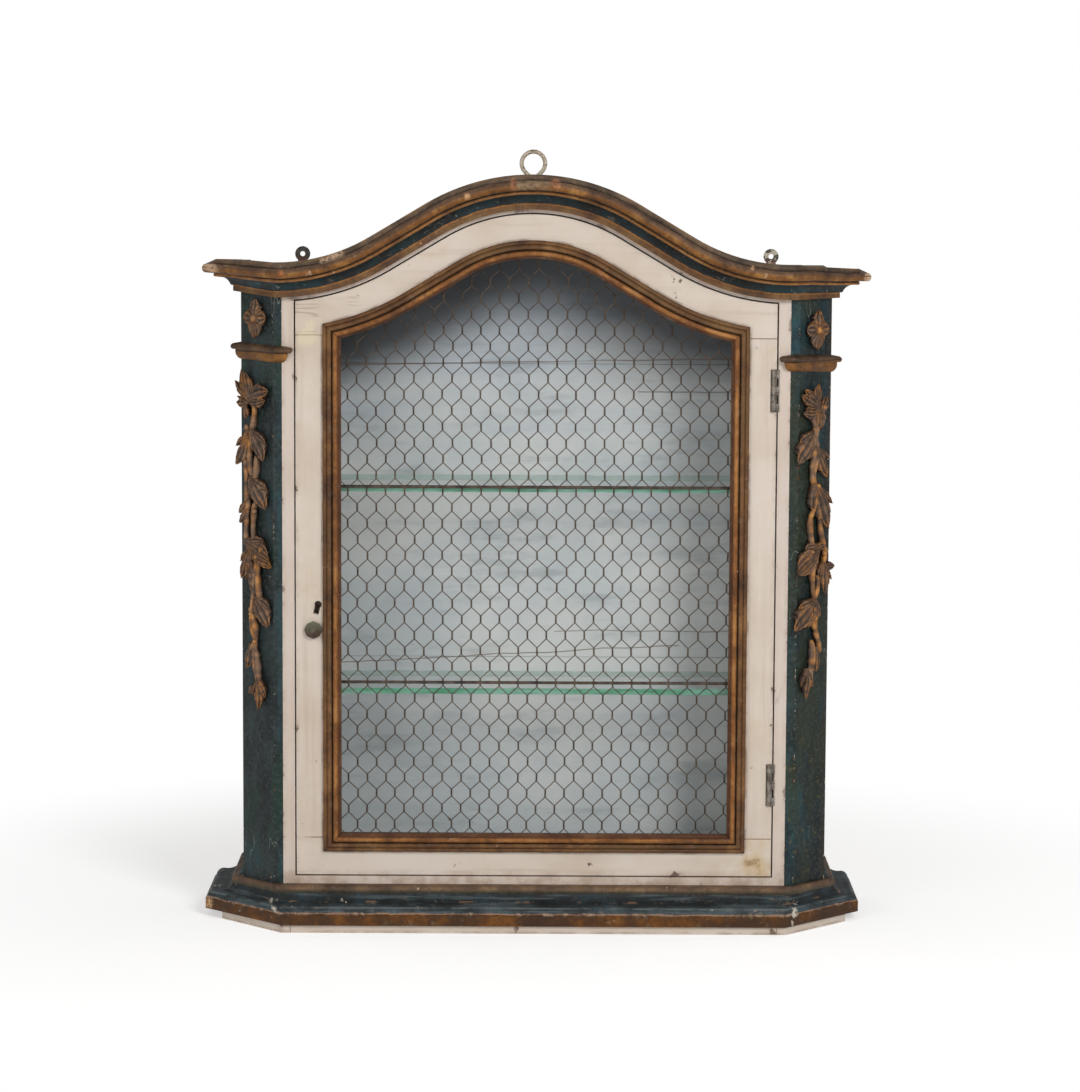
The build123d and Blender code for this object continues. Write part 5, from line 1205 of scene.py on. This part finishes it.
def room_light():
    """An even pale room, white where the camera sees it."""
    world = bpy.data.worlds.new("studio")
    bpy.context.scene.world = world
    world.use_nodes = True
    air = Shading(world.node_tree)
    pale = {"Color": (1.0, 0.99, 0.975, 1.0), "Strength": 0.36}
    room = air.node("ShaderNodeBackground", 0, {}, pale)
    white = air.node("ShaderNodeBackground", 0, {}, {"Color": WHITE, "Strength": 1.0})
    seen = air.rays("Camera", "Transmission")
    mixed = air.node("ShaderNodeMixShader", 0, {}, {0: seen, 1: room, 2: white})
    air.add("ShaderNodeOutputWorld", {}, {"Surface": mixed})


def lamp(name, place, aim, size, power):
    """A large soft lamp that points at one place on the case."""
    light = bpy.data.lights.new(name, "AREA")
    light.shape = "DISK"
    light.size = size
    light.energy = power
    holder = linked(name, light)
    holder.location = place
    holder.rotation_mode = "QUATERNION"
    holder.rotation_quaternion = (Vector(aim) - Vector(place)).to_track_quat("-Z", "Y")


def camera():
    """The camera, far back with a long lens, a little above the middle."""
    forward = Vector((0.0, cos(CAMERA_PITCH), -sin(CAMERA_PITCH)))
    level, upright = Vector((1.0, 0.0, 0.0)), Vector((0.0, sin(CAMERA_PITCH), cos(CAMERA_PITCH)))
    right = cos(CAMERA_ROLL) * level + sin(CAMERA_ROLL) * upright
    up = cos(CAMERA_ROLL) * upright - sin(CAMERA_ROLL) * level
    data = bpy.data.cameras.new("camera")
    data.sensor_width = SENSOR_WIDTH
    data.lens = SENSOR_WIDTH * FOCAL_PIXELS / LONG_SIDE_PIXELS
    data.clip_start, data.clip_end = 0.05, 200.0
    holder = linked("camera", data)
    turn = Matrix((right, up, -forward)).transposed()
    place = Matrix.Translation(Vector(CAMERA_AIM) - forward * CAMERA_DISTANCE)
    holder.matrix_world = place @ turn.to_4x4()
    bpy.context.scene.camera = holder


dress_nodes()
netting = solid("netting_wires", netting_wires, FINISH_OF["netting"], "door")
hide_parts("netting")
gilding = FINISH_OF["rosette"]
for node_name, mesh_maker in CARVINGS:
    carving = solid("carved_" + node_name, mesh_maker, gilding, "case")
    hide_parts(node_name)
floor()
room_light()
lamp("key_lamp", (1.2, -2.7, 1.8), (0.0, 0.0, 0.38), 1.1, 43.0)
lamp("fill_lamp", (-1.8, -2.9, 0.8), (0.0, 0.0, 0.34), 2.0, 24.0)
camera()
bpy.context.scene.view_settings.view_transform = "Standard"
